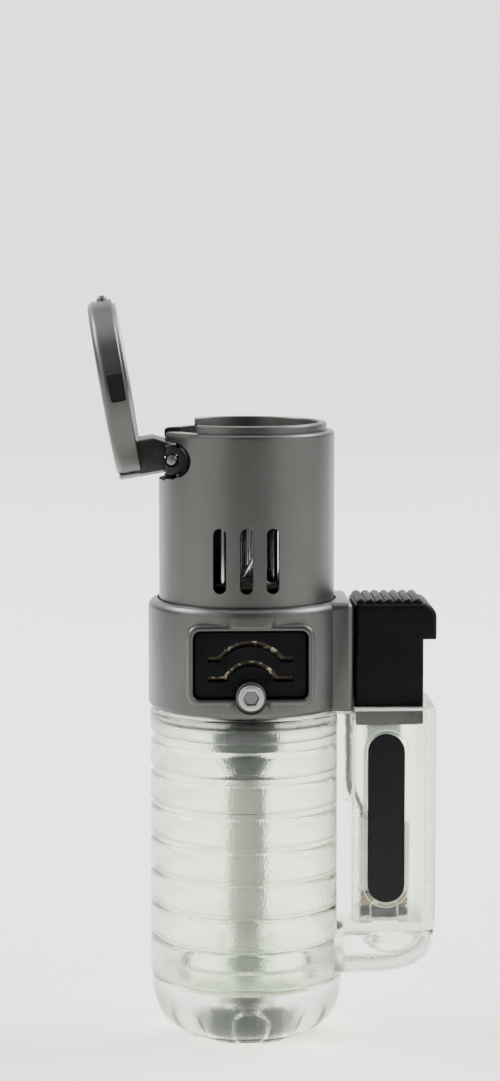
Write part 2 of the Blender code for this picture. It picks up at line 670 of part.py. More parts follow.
def make_wiring():
    """The piezo's lead up to the burner, and the bare electrode that sparks over the tubes."""
    lead = [(17.9, -2.1, 34.0), (17.2, -2.1, 36.2), (15.7, -2.1, 39.0), (15.5, -2.1, 44.0)]
    lead += [(15.4, -2.1, 50.5), (14.2, -2.2, 53.4), (12.4, -3.4, 55.4), (10.4, -6.4, 60.0)]
    lead += [(8.6, -7.8, 64.2), (5.2, -9.8, 66.6), (1.4, -10.6, 68.2), (-1.9, -10.3, 69.2)]
    lead = [tuple(value * MM for value in point) for point in lead]
    piece(wire("ignition_lead", smooth_path(lead, 3), 0.45 * MM), BLACK)
    rise = [(-2.5, -10.1, 69.9), (-1.6, -10.0, 71.6), (1.6, -9.4, 77.6), (2.6, -7.6, 84.5)]
    rise += [(2.2, -5.2, 91.2), (1.5, -2.6, 92.9), (0.9, -0.6, 92.9)]
    rise = [tuple(value * MM for value in point) for point in rise]
    piece(wire("electrode", smooth_path(rise, 3), 0.3 * MM), STEEL)


# ---------------------------------------------------------------- lid


def make_lid():
    """The lid is modelled closed about its pin, and the empty on the pin holds it open."""
    axis = new_empty("lid_axis", (PIN_X, 0, PIN_Z), FRAME)
    axis.rotation_euler = Euler((0, -LID_OPEN_ANGLE, 0))
    middle = (LID_X - PIN_X, 0, -PIN_Z)
    edge = 1.6 * MM
    inner = LID_RADIUS - 0.45 * MM
    roof = LID_TOP - 0.6 * MM
    outline = [(0, LID_TOP)] + arc((LID_RADIUS - edge, LID_TOP - edge), edge, 90, 0, 4)
    outline += [(LID_RADIUS, LID_SKIRT), (inner, LID_SKIRT), (inner, roof - 0.8 * MM)]
    outline += [(inner - 0.8 * MM, roof), (0, roof)]
    lid = turned("lid", outline, 48, place=middle)
    nub_start, nub_end = LID_RADIUS - 0.4 * MM, LID_RADIUS + 0.75 * MM
    nub = rod("thumb nub", 0.8 * MM, nub_start, nub_end, "X", 12, (0, 96.0 * MM))
    nub.location = [a + b for a, b in zip(nub.location, middle)]
    join(lid, bevelled(nub, 0.3 * MM), parent=axis)
    left = LID_LEFT - PIN_X
    low, high = LID_SKIRT - PIN_Z - 1 * MM, LID_TOP - PIN_Z
    room_high = (4.1 * MM, 4.9 * MM, roof - PIN_Z - 0.02 * MM)
    notch_low, notch_high = (10.5 * MM, -16 * MM, 4.9 * MM), (15.2 * MM, -11 * MM, 7.1 * MM)
    cut(
        lid,
        box("lid end", (left - 3 * MM, -8 * MM, low), (left, 8 * MM, high + 1 * MM)),
        box("arm room", (left - 3 * MM, -4.9 * MM, low), room_high),
        box("catch notch", notch_low, notch_high),
        parent=axis,
    )
    piece(lid, GUNMETAL, axis)
    liner = [(0, 97.5), (12.5, 97.5), (12.92, 97.0), (12.92, 94.25), (12.52, 94.25)]
    liner += [(12.52, 96.3), (0, 96.3)]
    liner = [(radius * MM, height * MM) for radius, height in liner]
    liner = turned("lid_liner", liner, 48, place=middle)
    cut(liner, box("liner end", (-4 * MM, -15 * MM, 3 * MM), (4.1 * MM, 15 * MM, 9 * MM)), parent=axis)
    piece(liner, STEEL, axis)
    make_hinge_arm(axis)


def make_hinge_arm(axis):
    outline = [(-2.4 * MM, 7.5 * MM), (-2.4 * MM, 0)] + arc((0, 0), 2.4 * MM, 180, 340, 8)
    outline += [(3.6 * MM, 2.2 * MM), (3.6 * MM, 7.5 * MM)]
    arm = plate("hinge_arm", outline, -4.6 * MM, 4.6 * MM)
    end = LID_LEFT - PIN_X + 0.05 * MM
    cut(
        arm,
        rod("pin bore", PIN_RADIUS + 0.25 * MM, -9 * MM, 9 * MM, "Y", 16),
        rod("spring room", 2.0 * MM, 1.5 * MM, 9 * MM, "Y", 20),
        box("lid room", (-4 * MM, -9 * MM, LID_SKIRT - PIN_Z - GAP), (end, 9 * MM, 9 * MM)),
        parent=axis,
    )
    piece(arm, DARK_METAL, axis)


# ---------------------------------------------------------------- trigger and piezo igniter


def cap_outline():
    """The trigger's cap from the front, with rounded ridges along its top."""
    ridges = 7
    left, right = TRIGGER_LEFT + 0.3 * MM, TRIGGER_RIGHT - 1.9 * MM
    pitch = (right - left) / ridges
    points = [(TRIGGER_LEFT, TRIGGER_LIP - 2 * MM), (TRIGGER_LEFT, TRIGGER_TOP - 0.7 * MM)]
    for i in range(ridges):
        centre = left + pitch * (i + 0.5)
        for step in range(-2, 3):
            across = step / 2 * 0.46 * pitch
            up = 0.45 * MM * (1 - (step / 2) ** 2)
            points.append((centre + across, TRIGGER_TOP - 0.3 * MM + up))
    points += arc((TRIGGER_RIGHT - 1.8 * MM, TRIGGER_TOP - 2 * MM), 1.8 * MM, 75, 0, 4)
    points += [(TRIGGER_RIGHT, TRIGGER_LIP), (STEM_RIGHT, TRIGGER_LIP), (STEM_RIGHT, TRIGGER_LIP - 2 * MM)]
    return list(reversed(points))


def make_trigger():
    """The trigger and the piezo's plunger slide down together, so both hang on one empty."""
    slide = new_empty("trigger_axis", (PIEZO_X, 0, STEM_BOTTOM), FRAME)
    offset = (-PIEZO_X, 0, -STEM_BOTTOM)

    def moved(obj):
        obj.location = [a + b for a, b in zip(obj.location, offset)]
        return obj

    half = TRIGGER_DEPTH / 2
    trigger = moved(plate("trigger", cap_outline(), -half, half))
    stem_low = (TRIGGER_LEFT, -6 * MM, STEM_BOTTOM)
    stem = moved(box("stem", stem_low, (STEM_RIGHT, 6 * MM, TRIGGER_LIP)))
    join(trigger, stem, parent=slide)
    piece(trigger, BLACK, slide)
    side = 2.75 * MM
    low = (PIEZO_X - side, -side, 31.2 * MM)
    plunger = moved(box("piezo_plunger", low, (PIEZO_X + side, side, STEM_BOTTOM - GAP), 0.6 * MM))
    piece(plunger, GREY, slide)


def make_piezo():
    half = PIEZO_SIDE / 2
    low, high = (PIEZO_X - half, -half), (PIEZO_X + half, half)
    piece(box("piezo_base", (*low, 18.6 * MM), (*high, 20.0 * MM), 0.3 * MM), BLACK)
    piece(box("piezo_contact", (*low, 20.3 * MM), (*high, 22.4 * MM), 0.3 * MM), COPPER)
    case = box("piezo_case", (*low, 22.7 * MM), (*high, PIEZO_TOP), 0.4 * MM)
    bore = 3.1 * MM
    bore_low = (PIEZO_X - bore, -bore, 23.5 * MM)
    cut(case, box("plunger bore", bore_low, (PIEZO_X + bore, bore, PIEZO_TOP + 1 * MM)))
    piece(case, WARM_GREY)
    spring = coil("piezo_spring", 2.2 * MM, 0.2 * MM, 23.8 * MM, 30.9 * MM, 4, side=(PIEZO_X, 0))
    piece(spring, STEEL)


def make_label():
    outline = pill((LABEL_X, LABEL_Z), LABEL_WIDTH - 0.5 * MM, LABEL_HEIGHT - 0.5 * MM)
    front = -HOUSING_DEPTH / 2
    piece(plate("label_plate", outline, front + 0.05 * MM, front + 0.4 * MM), LABEL)


make_tank()
make_foot()
make_base()
make_refill_valve()
make_outlet_valve()
make_chassis()
make_lever()
make_collar()
make_window()
make_screw()
make_guard()
make_hinge_bracket()
make_burner()
make_wiring()
make_lid()
make_trigger()
make_piezo()
make_label()
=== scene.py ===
import json
from math import asin, cos, degrees, pi, radians, sin, sqrt

import bmesh
import bpy
from mathutils import Euler, Matrix, Vector


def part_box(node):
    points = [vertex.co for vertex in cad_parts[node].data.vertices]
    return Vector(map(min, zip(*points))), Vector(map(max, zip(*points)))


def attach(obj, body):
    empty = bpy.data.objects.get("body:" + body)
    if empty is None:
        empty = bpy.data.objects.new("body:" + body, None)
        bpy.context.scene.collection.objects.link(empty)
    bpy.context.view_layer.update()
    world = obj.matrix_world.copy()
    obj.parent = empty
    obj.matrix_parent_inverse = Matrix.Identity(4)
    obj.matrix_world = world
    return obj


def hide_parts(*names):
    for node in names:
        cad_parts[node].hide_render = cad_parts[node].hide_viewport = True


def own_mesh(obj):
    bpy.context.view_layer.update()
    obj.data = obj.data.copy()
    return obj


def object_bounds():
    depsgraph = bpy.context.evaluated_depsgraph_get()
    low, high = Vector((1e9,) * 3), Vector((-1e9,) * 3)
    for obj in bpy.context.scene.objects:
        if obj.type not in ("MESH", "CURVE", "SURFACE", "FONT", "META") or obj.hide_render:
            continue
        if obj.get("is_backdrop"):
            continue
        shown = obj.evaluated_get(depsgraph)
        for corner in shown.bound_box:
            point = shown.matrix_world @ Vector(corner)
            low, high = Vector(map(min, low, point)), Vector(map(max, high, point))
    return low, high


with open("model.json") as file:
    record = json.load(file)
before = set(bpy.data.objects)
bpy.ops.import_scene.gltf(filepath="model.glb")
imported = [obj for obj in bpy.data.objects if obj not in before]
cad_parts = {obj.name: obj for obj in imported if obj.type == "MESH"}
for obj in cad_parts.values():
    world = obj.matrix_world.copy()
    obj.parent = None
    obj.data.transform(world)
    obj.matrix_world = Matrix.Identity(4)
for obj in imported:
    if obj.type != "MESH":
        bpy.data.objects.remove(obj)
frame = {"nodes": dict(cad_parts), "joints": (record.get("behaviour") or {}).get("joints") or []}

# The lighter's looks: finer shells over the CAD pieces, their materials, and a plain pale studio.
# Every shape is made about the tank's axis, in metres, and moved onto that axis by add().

MM = 0.001
CAD_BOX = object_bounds()
CUP_LOW, CUP_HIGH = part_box("base_cup")
AXIS = Vector(((CUP_LOW.x + CUP_HIGH.x) / 2, (CUP_LOW.y + CUP_HIGH.y) / 2, 0))


def local_box(node):
    """A CAD node's lowest and highest corners, measured from the tank's axis."""
    low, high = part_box(node)
    return low - AXIS, high - AXIS


TANK_LOW, TANK_HIGH = local_box("fuel_tank")
TANK_RADIUS = -TANK_LOW.x
TANK_BORE = TANK_RADIUS - 1.5 * MM
TANK_TOP = 51.15 * MM
HOUSING_RIGHT, HOUSING_TOP = TANK_HIGH.x, TANK_HIGH.z
HOUSING_HALF = 8.2 * MM
HOUSING_BOTTOM = 17.2 * MM
LABEL_LOW, LABEL_HIGH = local_box("label_plate")
LABEL_CENTRE = ((LABEL_LOW.x + LABEL_HIGH.x) / 2, (LABEL_LOW.z + LABEL_HIGH.z) / 2)
LABEL_WIDTH, LABEL_HEIGHT = LABEL_HIGH.x - LABEL_LOW.x, LABEL_HIGH.z - LABEL_LOW.z
COLLAR_LOW, COLLAR_HIGH = local_box("collar")
COLLAR_RADIUS = -COLLAR_LOW.x
COLLAR_BORE = COLLAR_RADIUS - 1.4 * MM
PLATE_LOW, PLATE_HIGH = local_box("window_plate")
WINDOW_Z = (PLATE_LOW.z + PLATE_HIGH.z) / 2
WINDOW_WIDTH = PLATE_HIGH.x - PLATE_LOW.x + 0.5 * MM
WINDOW_HEIGHT = PLATE_HIGH.z - PLATE_LOW.z + 0.5 * MM
FRAME_FRONT = -14.9 * MM
SCREW_LOW, SCREW_HIGH = local_box("hex_screw")
SCREW_Z = (SCREW_LOW.z + SCREW_HIGH.z) / 2
SCREW_RADIUS = (SCREW_HIGH.z - SCREW_LOW.z) / 2
BOSS_FRONT = -15.3 * MM
RING_OUTER = 2.28 * MM
GUARD_LOW, GUARD_HIGH = local_box("wind_guard")
GUARD_RADIUS = GUARD_HIGH.x
GUARD_SHOULDER = 94.15 * MM
LIP_LEFT = -7.8 * MM
PIN_LOW, PIN_HIGH = local_box("hinge_pin")
PIN_X, PIN_Z = (PIN_LOW.x + PIN_HIGH.x) / 2, (PIN_LOW.z + PIN_HIGH.z) / 2
PIN = (PIN_X, PIN_Z)
PIN_RADIUS = (PIN_HIGH.x - PIN_LOW.x) / 2
LID_HINGE = next(joint for joint in frame["joints"] if joint["name"] == "lid_hinge")
LID_OPEN = radians(LID_HINGE["range_deg"][1])
LID_RADIUS = 13.6 * MM
LID_X = 0.2 * MM
LID_TOP, LID_SKIRT, LID_LEFT = 98.85 * MM, 94.8 * MM, -13.2 * MM
TRIGGER_LOW, TRIGGER_HIGH = local_box("trigger")
TRIGGER_LIP = 62.2 * MM
STEM_RIGHT = 26.9 * MM


# ---- shapes


def mm(*values):
    """Millimetres as metres."""
    return tuple(value * MM for value in values)


def in_mm(points):
    return [mm(*point) for point in points]


def middle_of(low, high):
    return tuple((a + b) / 2 for a, b in zip(low, high))


def linked(name, data):
    obj = bpy.data.objects.new(name, data)
    bpy.context.scene.collection.objects.link(obj)
    return obj


def object_from(name, bm):
    bmesh.ops.recalc_face_normals(bm, faces=bm.faces)
    mesh = bpy.data.meshes.new(name)
    bm.to_mesh(mesh)
    bm.free()
    return linked(name, mesh)


def turned(name, outline, segments=96, closed=False, shape=None):
    """Turns (radius, height) points about Z. shape(angle, radius, height) may give another radius."""
    bm = bmesh.new()
    rings = []
    for radius, height in outline:
        count = segments if radius > 0 else 1
        ring = []
        for i in range(count):
            angle = 2 * pi * i / segments
            reach = shape(angle, radius, height) if shape else radius
            ring.append(bm.verts.new((reach * cos(angle), reach * sin(angle), height)))
        rings.append(ring)
    following = rings[1:] + ([rings[0]] if closed else [])
    for first, second in zip(rings, following):
        for i in range(segments):
            j = (i + 1) % segments
            corners = [first[k % len(first)] for k in (i, j)]
            corners += [second[k % len(second)] for k in (j, i)]
            corners = list(dict.fromkeys(corners))
            if len(corners) > 2:
                bm.faces.new(corners)
    return object_from(name, bm)


def loft(name, sections):
    """A closed body through sections of equal point counts, capped at both ends."""
    bm = bmesh.new()
    rings = [[bm.verts.new(point) for point in section] for section in sections]
    for first, second in zip(rings, rings[1:]):
        for i in range(len(first)):
            j = (i + 1) % len(first)
            bm.faces.new((first[i], first[j], second[j], second[i]))
    bm.faces.new(rings[0])
    bm.faces.new(rings[-1])
    return object_from(name, bm)


def place(point, depth, axis):
    across, up = point
    return {"X": (depth, across, up), "Y": (across, depth, up), "Z": (across, up, depth)}[axis]


def plate(name, outline_at, start, end, axis="Y", start_round=0.0, end_round=0.0, steps=4):
    """outline_at(inset) is extruded along an axis, with quarter-round edges at either end.

    A negative rounding flares outwards, as a cutter's rim does."""

    def rounded(at, rounding, towards):
        size = abs(rounding)
        for i in range(steps + 1):
            angle = pi / 2 * i / steps
            depth = at + towards * size * (1 - cos(angle))
            yield section(rounding * (1 - sin(angle)), depth)

    def section(inset, depth):
        return [place(point, depth, axis) for point in outline_at(inset)]

    heading = 1 if end > start else -1
    first = list(rounded(start, start_round, heading)) if start_round else [section(0, start)]
    last = list(rounded(end, end_round, -heading)) if end_round else [section(0, end)]
    return loft(name, first + last[::-1])


def arc(centre, radius, start, end, steps=8):
    """Points along an arc, with its angles in degrees."""
    angles = [radians(start + (end - start) * i / steps) for i in range(steps + 1)]
    return [(centre[0] + radius * cos(a), centre[1] + radius * sin(a)) for a in angles]


def rounded_rectangle(centre, width, height, radius, steps=8):
    """outline_at for plate(): a rectangle with round corners."""

    def outline_at(inset):
        points = []
        for side, up, angle in ((1, 1, 0), (-1, 1, 90), (-1, -1, 180), (1, -1, 270)):
            across, above = side * (width / 2 - radius), up * (height / 2 - radius)
            corner = (centre[0] + across, centre[1] + above)
            points += arc(corner, max(radius - inset, 0.01 * MM), angle, angle + 90, steps)
        return points

    return outline_at


def pill(centre, width, height, steps=14):
    """outline_at for plate(): an upright outline with round ends."""
    radius, reach = width / 2, (height - width) / 2

    def outline_at(inset):
        top = arc((centre[0], centre[1] + reach), radius - inset, 0, 180, steps)
        return top + arc((centre[0], centre[1] - reach), radius - inset, 180, 360, steps)

    return outline_at


def disc(centre, radius, steps=48):
    """outline_at for plate(): a circle, or a polygon where there are few steps."""

    def outline_at(inset):
        return arc(centre, radius - inset, 0, 360 - 360 / steps, steps - 1)

    return outline_at


def rod(name, radius, start, end, axis="Z", side=(0, 0), rounding=0.0, steps=48):
    return plate(name, disc(side, radius, steps), start, end, axis, rounding, rounding)


def box(name, low, high, rounding=0.0, segments=3):
    bm = bmesh.new()
    bmesh.ops.create_cube(bm, size=1)
    bmesh.ops.scale(bm, vec=[b - a for a, b in zip(low, high)], verts=bm.verts)
    bmesh.ops.translate(bm, vec=middle_of(low, high), verts=bm.verts)
    obj = object_from(name, bm)
    return bevelled(obj, rounding, segments) if rounding else obj


def applied(obj):
    """Makes the object's modifiers part of its mesh."""
    graph = bpy.context.evaluated_depsgraph_get()
    mesh = bpy.data.meshes.new_from_object(obj.evaluated_get(graph))
    obj.modifiers.clear()
    obj.data = mesh
    return obj


def bevelled(obj, width, segments=3):
    modifier = obj.modifiers.new("rounded edges", "BEVEL")
    modifier.width = width
    modifier.segments = segments
    modifier.limit_method = "ANGLE"
    modifier.angle_limit = radians(35)
    modifier.use_clamp_overlap = False
    return applied(obj)


def combine(operation, target, others):
    for other in others:
        modifier = target.modifiers.new(other.name, "BOOLEAN")
        modifier.operation = operation
        modifier.object = other
        applied(target)
        bpy.data.objects.remove(other)
    return target


def cut(target, *others):
    return combine("DIFFERENCE", target, others)


def join(target, *others):
    return combine("UNION", target, others)


def cleaned(obj, within=0.004 * MM):
    """Merges the near-coincident points that Booleans leave."""
    bm = bmesh.new()
    bm.from_mesh(obj.data)
    bmesh.ops.remove_doubles(bm, verts=bm.verts, dist=within)
    bmesh.ops.dissolve_degenerate(bm, edges=bm.edges, dist=within)
    bm.to_mesh(obj.data)
    bm.free()
    return obj


def smooth(obj, angle=32):
    obj.data.shade_smooth()
    obj.data.set_sharp_from_angle(angle=radians(angle))
    return obj


def add(obj, body, slot, material, *nodes, angle=32, offset=AXIS):
    """Makes an object one of the lighter's pieces, standing for the named CAD nodes."""
    smooth(obj, angle)
    obj.data.transform(Matrix.Translation(offset))
    obj.data.materials.clear()
    obj.data.materials.append(material)
    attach(obj, body)
    if nodes:
        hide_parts(*nodes)
    return obj


def paint(obj, material, chosen):
    """Gives the faces whose centre is chosen, measured from the tank's axis, another material."""
    obj.data.materials.append(material)
    index = len(obj.data.materials) - 1
    for face in obj.data.polygons:
        if chosen(face.center - AXIS):
            face.material_index = index
    return obj


def choose(obj, material, chosen):
    """Gives the faces marked in a list another material."""
    obj.data.materials.append(material)
    for face, marked in zip(obj.data.polygons, chosen):
        face.material_index = len(obj.data.materials) - 1 if marked else face.material_index


# ---- materials


class Finish:
    """A Principled material with mottled colour, uneven roughness and a fine grain in relief."""

    def __init__(self, name, colour, metallic=0.0, roughness=0.5):
        self.material = bpy.data.materials.new(name)
        self.material.use_nodes = True
        self.nodes = self.material.node_tree.nodes
        self.links = self.material.node_tree.links
        self.shader = self.nodes["Principled BSDF"]
        self.colour, self.roughness = colour, roughness
        self.set("Base Color", (*colour, 1))
        self.set("Metallic", metallic)
        self.set("Roughness", roughness)
        self.place = self.nodes.new("ShaderNodeTexCoord").outputs["Object"]
        self.bump = None

    def set(self, socket, value):
        self.shader.inputs[socket].default_value = value

    def noise(self, size, detail=2.0, stretch=(1, 1, 1), distortion=0.0):
        """Noise whose features are about this size, in millimetres like every size here."""
        mapping = self.nodes.new("ShaderNodeMapping")
        mapping.inputs["Scale"].default_value = [1 / s for s in stretch]
        texture = self.nodes.new("ShaderNodeTexNoise")
        texture.inputs["Scale"].default_value = 1 / (size * MM)
        texture.inputs["Detail"].default_value = detail
        texture.inputs["Distortion"].default_value = distortion
        self.links.new(self.place, mapping.inputs["Vector"])
        self.links.new(mapping.outputs["Vector"], texture.inputs["Vector"])
        return texture.outputs["Fac"]

    def ramp(self, value, low, high, start=0.3, end=0.7):
        """Maps a value between start and end onto low to high."""
        node = self.nodes.new("ShaderNodeMapRange")
        node.inputs["From Min"].default_value = start
        node.inputs["From Max"].default_value = end
        node.inputs["To Min"].default_value = low
        node.inputs["To Max"].default_value = high
        self.links.new(value, node.inputs["Value"])
        return node.outputs["Result"]

    def mix(self, share, colour, under=None):
        """Shows a colour by a socket's share, over another colour or over what is there."""
        mix = self.nodes.new("ShaderNodeMix")
        mix.data_type = "RGBA"
        self.links.new(share, mix.inputs[0])
        if under:
            mix.inputs[6].default_value = (*under, 1)
        else:
            self.links.new(self.tint, mix.inputs[6])
        mix.inputs[7].default_value = (*colour, 1)
        self.tint = mix.outputs[2]
        self.links.new(self.tint, self.shader.inputs["Base Color"])
        return self

    def mottle(self, size, spread, warmth=0.0):
        """Varies the colour by spread either way, slightly warmer where it is lighter."""
        dark = [c * (1 - spread) for c in self.colour]
        light = [c * (1 + spread + warmth * k) for c, k in zip(self.colour, (1, 0, -1))]
        return self.mix(self.ramp(self.noise(size), 0, 1), light, dark)

    def speckle(self, size, colour, share=0.72):
        """Small specks of another colour where fine noise peaks."""
        return self.mix(self.ramp(self.noise(size, 1.0), 0, 1, share, share + 0.06), colour)

    def uneven(self, size, spread, stretch=(1, 1, 1)):
        """Varies the roughness by spread either way."""
        value = self.noise(size, 3.0, stretch)
        result = self.ramp(value, self.roughness - spread, self.roughness + spread)
        self.links.new(result, self.shader.inputs["Roughness"])
        return self

    def grain(self, size, depth, stretch=(1, 1, 1), detail=2.0):
        """Fine relief, with its depth in millimetres."""
        bump = self.nodes.new("ShaderNodeBump")
        bump.inputs["Distance"].default_value = depth * MM
        self.links.new(self.noise(size, detail, stretch), bump.inputs["Height"])
        if self.bump:
            self.links.new(self.bump.outputs["Normal"], bump.inputs["Normal"])
        self.bump = bump
        self.links.new(bump.outputs["Normal"], self.shader.inputs["Normal"])
        return self

    def let_light_through(self, tint):
        """Lets lamps light what the clear plastic holds."""
        output = self.nodes["Material Output"]
        mix = self.nodes.new("ShaderNodeMixShader")
        clear = self.nodes.new("ShaderNodeBsdfTransparent")
        clear.inputs["Color"].default_value = (*tint, 1)
        path = self.nodes.new("ShaderNodeLightPath")
        self.links.new(path.outputs["Is Shadow Ray"], mix.inputs[0])
        self.links.new(self.shader.outputs[0], mix.inputs[1])
        self.links.new(clear.outputs[0], mix.inputs[2])
        self.links.new(mix.outputs[0], output.inputs["Surface"])
        return self


def clear_plastic():
    finish = Finish("clear acrylic", (0.92, 0.98, 0.87), 0.0, 0.09)
    finish.mottle(9, 0.012).uneven(2.5, 0.04).grain(0.3, 0.045).grain(3.5, 0.06)
    finish.set("Specular IOR Level", 0.25)
    finish.set("Transmission Weight", 1.0)
    finish.set("IOR", 1.47)
    finish.let_light_through((0.93, 0.94, 0.9))
    return finish.material


def frosted_edge_with_painted_highlight():
    """The clear plastic's rims and corners: rough and frosted, with a whitish colour painted as their
    bright edge highlight.
    """
    finish = Finish("frosted edge with painted highlight", (0.86, 0.88, 0.8), 0.0, 0.4)
    finish.mottle(1.5, 0.06).uneven(0.8, 0.1).grain(0.25, 0.02)
    finish.set("Transmission Weight", 0.35)
    finish.let_light_through((0.8, 0.82, 0.76))
    return finish.material


def gunmetal():
    finish = Finish("satin gunmetal", (0.07, 0.0725, 0.068), 0.92, 0.38)
    finish.mottle(14, 0.05).uneven(5, 0.045, (1, 1, 3)).grain(0.16, 0.0035).grain(2.2, 0.006)
    return finish.material


def dark_metal():
    finish = Finish("dark gunmetal", (0.026, 0.026, 0.025), 0.85, 0.5)
    finish.mottle(2.0, 0.16).speckle(0.22, (0.1, 0.1, 0.095)).uneven(1.2, 0.08).grain(0.2, 0.008)
    return finish.material


def black_plastic():
    finish = Finish("black plastic", (0.002, 0.0022, 0.003), 0.0, 0.46)
    finish.set("Specular IOR Level", 0.08)
    finish.mottle(5, 0.16).speckle(0.12, (0.02, 0.021, 0.024), 0.77)
    finish.uneven(1.6, 0.07).grain(0.11, 0.004).grain(1.8, 0.008)
    return finish.material


def plain_plastic(name, colour, roughness=0.5, gloss=0.5):
    finish = Finish(name, colour, 0.0, roughness)
    finish.set("Specular IOR Level", gloss)
    finish.mottle(2.5, 0.08, 0.02).uneven(1.5, 0.06).grain(0.15, 0.005)
    return finish.material


def rubber():
    finish = Finish("black rubber", (0.02, 0.02, 0.021), 0.0, 0.72)
    finish.mottle(1.2, 0.2).uneven(0.8, 0.08).grain(0.12, 0.008)
    return finish.material


def metal(name, colour, roughness, stretch=(1, 1, 1), depth=0.002):
    """A turned or drawn metal, whose grain runs along the axis that is stretched."""
    finish = Finish(name, colour, 1.0, roughness)
    finish.mottle(3, 0.05, 0.02).uneven(0.6, 0.05, stretch).grain(0.09, depth, stretch)
    return finish.material


def brass_with_painted_shade_and_glints():
    """Brass strip, painted dark as shade except where patches of it are painted lighter as glints."""
    finish = Finish("brass with painted shade and glints", (0.05, 0.043, 0.03), 0.9, 0.34)
    finish.mottle(1.0, 0.3)
    # Painted glints: where the noise peaks, the dark brass turns to a lighter brass colour.
    finish.mix(finish.ramp(finish.noise(1.3), 0, 1, 0.55, 0.63), (0.3, 0.27, 0.2))
    finish.uneven(0.8, 0.1).grain(0.3, 0.01)
    return finish.material


CLEAR = clear_plastic()
FROSTED_PAINTED_HIGHLIGHT = frosted_edge_with_painted_highlight()
GUNMETAL = gunmetal()
DARK_METAL = dark_metal()
BLACK = black_plastic()
RUBBER = rubber()
GREY = plain_plastic("slate grey plastic", (0.018, 0.021, 0.026), 0.5, 0.25)
WHITE = plain_plastic("bluish white plastic", (0.6, 0.63, 0.67), 0.42)
PALE = plain_plastic("natural plastic", (0.56, 0.55, 0.5), 0.42)
WARM_GREY = plain_plastic("warm grey plastic", (0.25, 0.245, 0.22), 0.45)
LEAD = plain_plastic("lead sleeve", (0.06, 0.06, 0.062), 0.4)
LABEL = plain_plastic("black label", (0.003, 0.0032, 0.0042), 0.4, 0.14)
# Near-black, used as painted shade in recesses and the catch notch, and for the darkened inside of
# the guard.
SOOT_AND_PAINTED_SHADE = plain_plastic("heat-darkened metal and painted shade", (0.005, 0.005, 0.0048), 0.6, 0.15)
STEEL = metal("bright steel", (0.66, 0.66, 0.65), 0.27, (1, 1, 5))
SCREW_STEEL = metal("screw steel", (0.3, 0.3, 0.29), 0.36, (1, 4, 1), 0.004)
LINER_STEEL = metal("satin liner steel", (0.25, 0.255, 0.245), 0.4, (1, 1, 4))
CHROME = metal("polished chrome", (0.78, 0.78, 0.79), 0.09, (1, 1, 8), 0.0008)
BRASS = metal("turned brass", (0.63, 0.5, 0.26), 0.3, (1, 1, 4), 0.004)
BRASS_PAINTED_SHADE_AND_GLINTS = brass_with_painted_shade_and_glints()
BRASS_IN_PAINTED_SHADE = metal("brass darkened as painted shade", (0.03, 0.026, 0.02), 0.5, (1, 1, 4), 0.004)
NICKEL = metal("dull nickel", (0.13, 0.135, 0.14), 0.38, (1, 1, 4), 0.003)
COPPER = metal("copper strip", (0.17, 0.115, 0.075), 0.4)


# ---- tank and base

RIB_TOP, RIB_PITCH, GROOVE_DEPTH = 46.9 * MM, 5.2 * MM, 0.65 * MM
GROOVE_FLATS = [flat * MM for flat in (1.2, 0.9, 0.7, 0.6, 0.3, 0.3, 0.3)]


def tank_outline():
    """The ribbed outside from the top down, then the bore from the bottom up, as one loop."""
    shoulder, steps = 0.85 * MM, 6
    points = arc((TANK_RADIUS - 0.6 * MM, TANK_TOP - 0.6 * MM), 0.6 * MM, 90, 0, 4)
    for i, flat in enumerate(GROOVE_FLATS):
        height, half = RIB_TOP - i * RIB_PITCH, flat / 2
        falls = [GROOVE_DEPTH * (1 - sqrt(1 - (k / steps) ** 2)) for k in range(steps + 1)]
        for k, fall in enumerate(falls):
            points.append((TANK_RADIUS - fall, height + half + shoulder * (1 - k / steps)))
        for k, fall in reversed(list(enumerate(falls))):
            points.append((TANK_RADIUS - fall, height - half - shoulder * (1 - k / steps)))
    bottom = TANK_LOW.z
    points += [(TANK_RADIUS, bottom + 0.15 * MM), (TANK_RADIUS - 0.15 * MM, bottom)]
    points += [(TANK_BORE, bottom), (TANK_BORE, TANK_TOP - 2.4 * MM)]
    points += arc((TANK_BORE - 1 * MM, TANK_TOP - 2.4 * MM), 1 * MM, 0, 90, 4)
    return points + [(3.6 * MM, TANK_TOP - 1.4 * MM), (3.6 * MM, TANK_TOP)]


def housing_outline(left, right, half, corner):
    def outline_at(inset):
        front = arc((right - corner, -half + corner), corner - inset, -90, 0, 8)
        back = arc((right - corner, half - corner), corner - inset, 0, 90, 8)
        return [(left, -half + inset)] + front + back + [(left, half - inset)]

    return outline_at


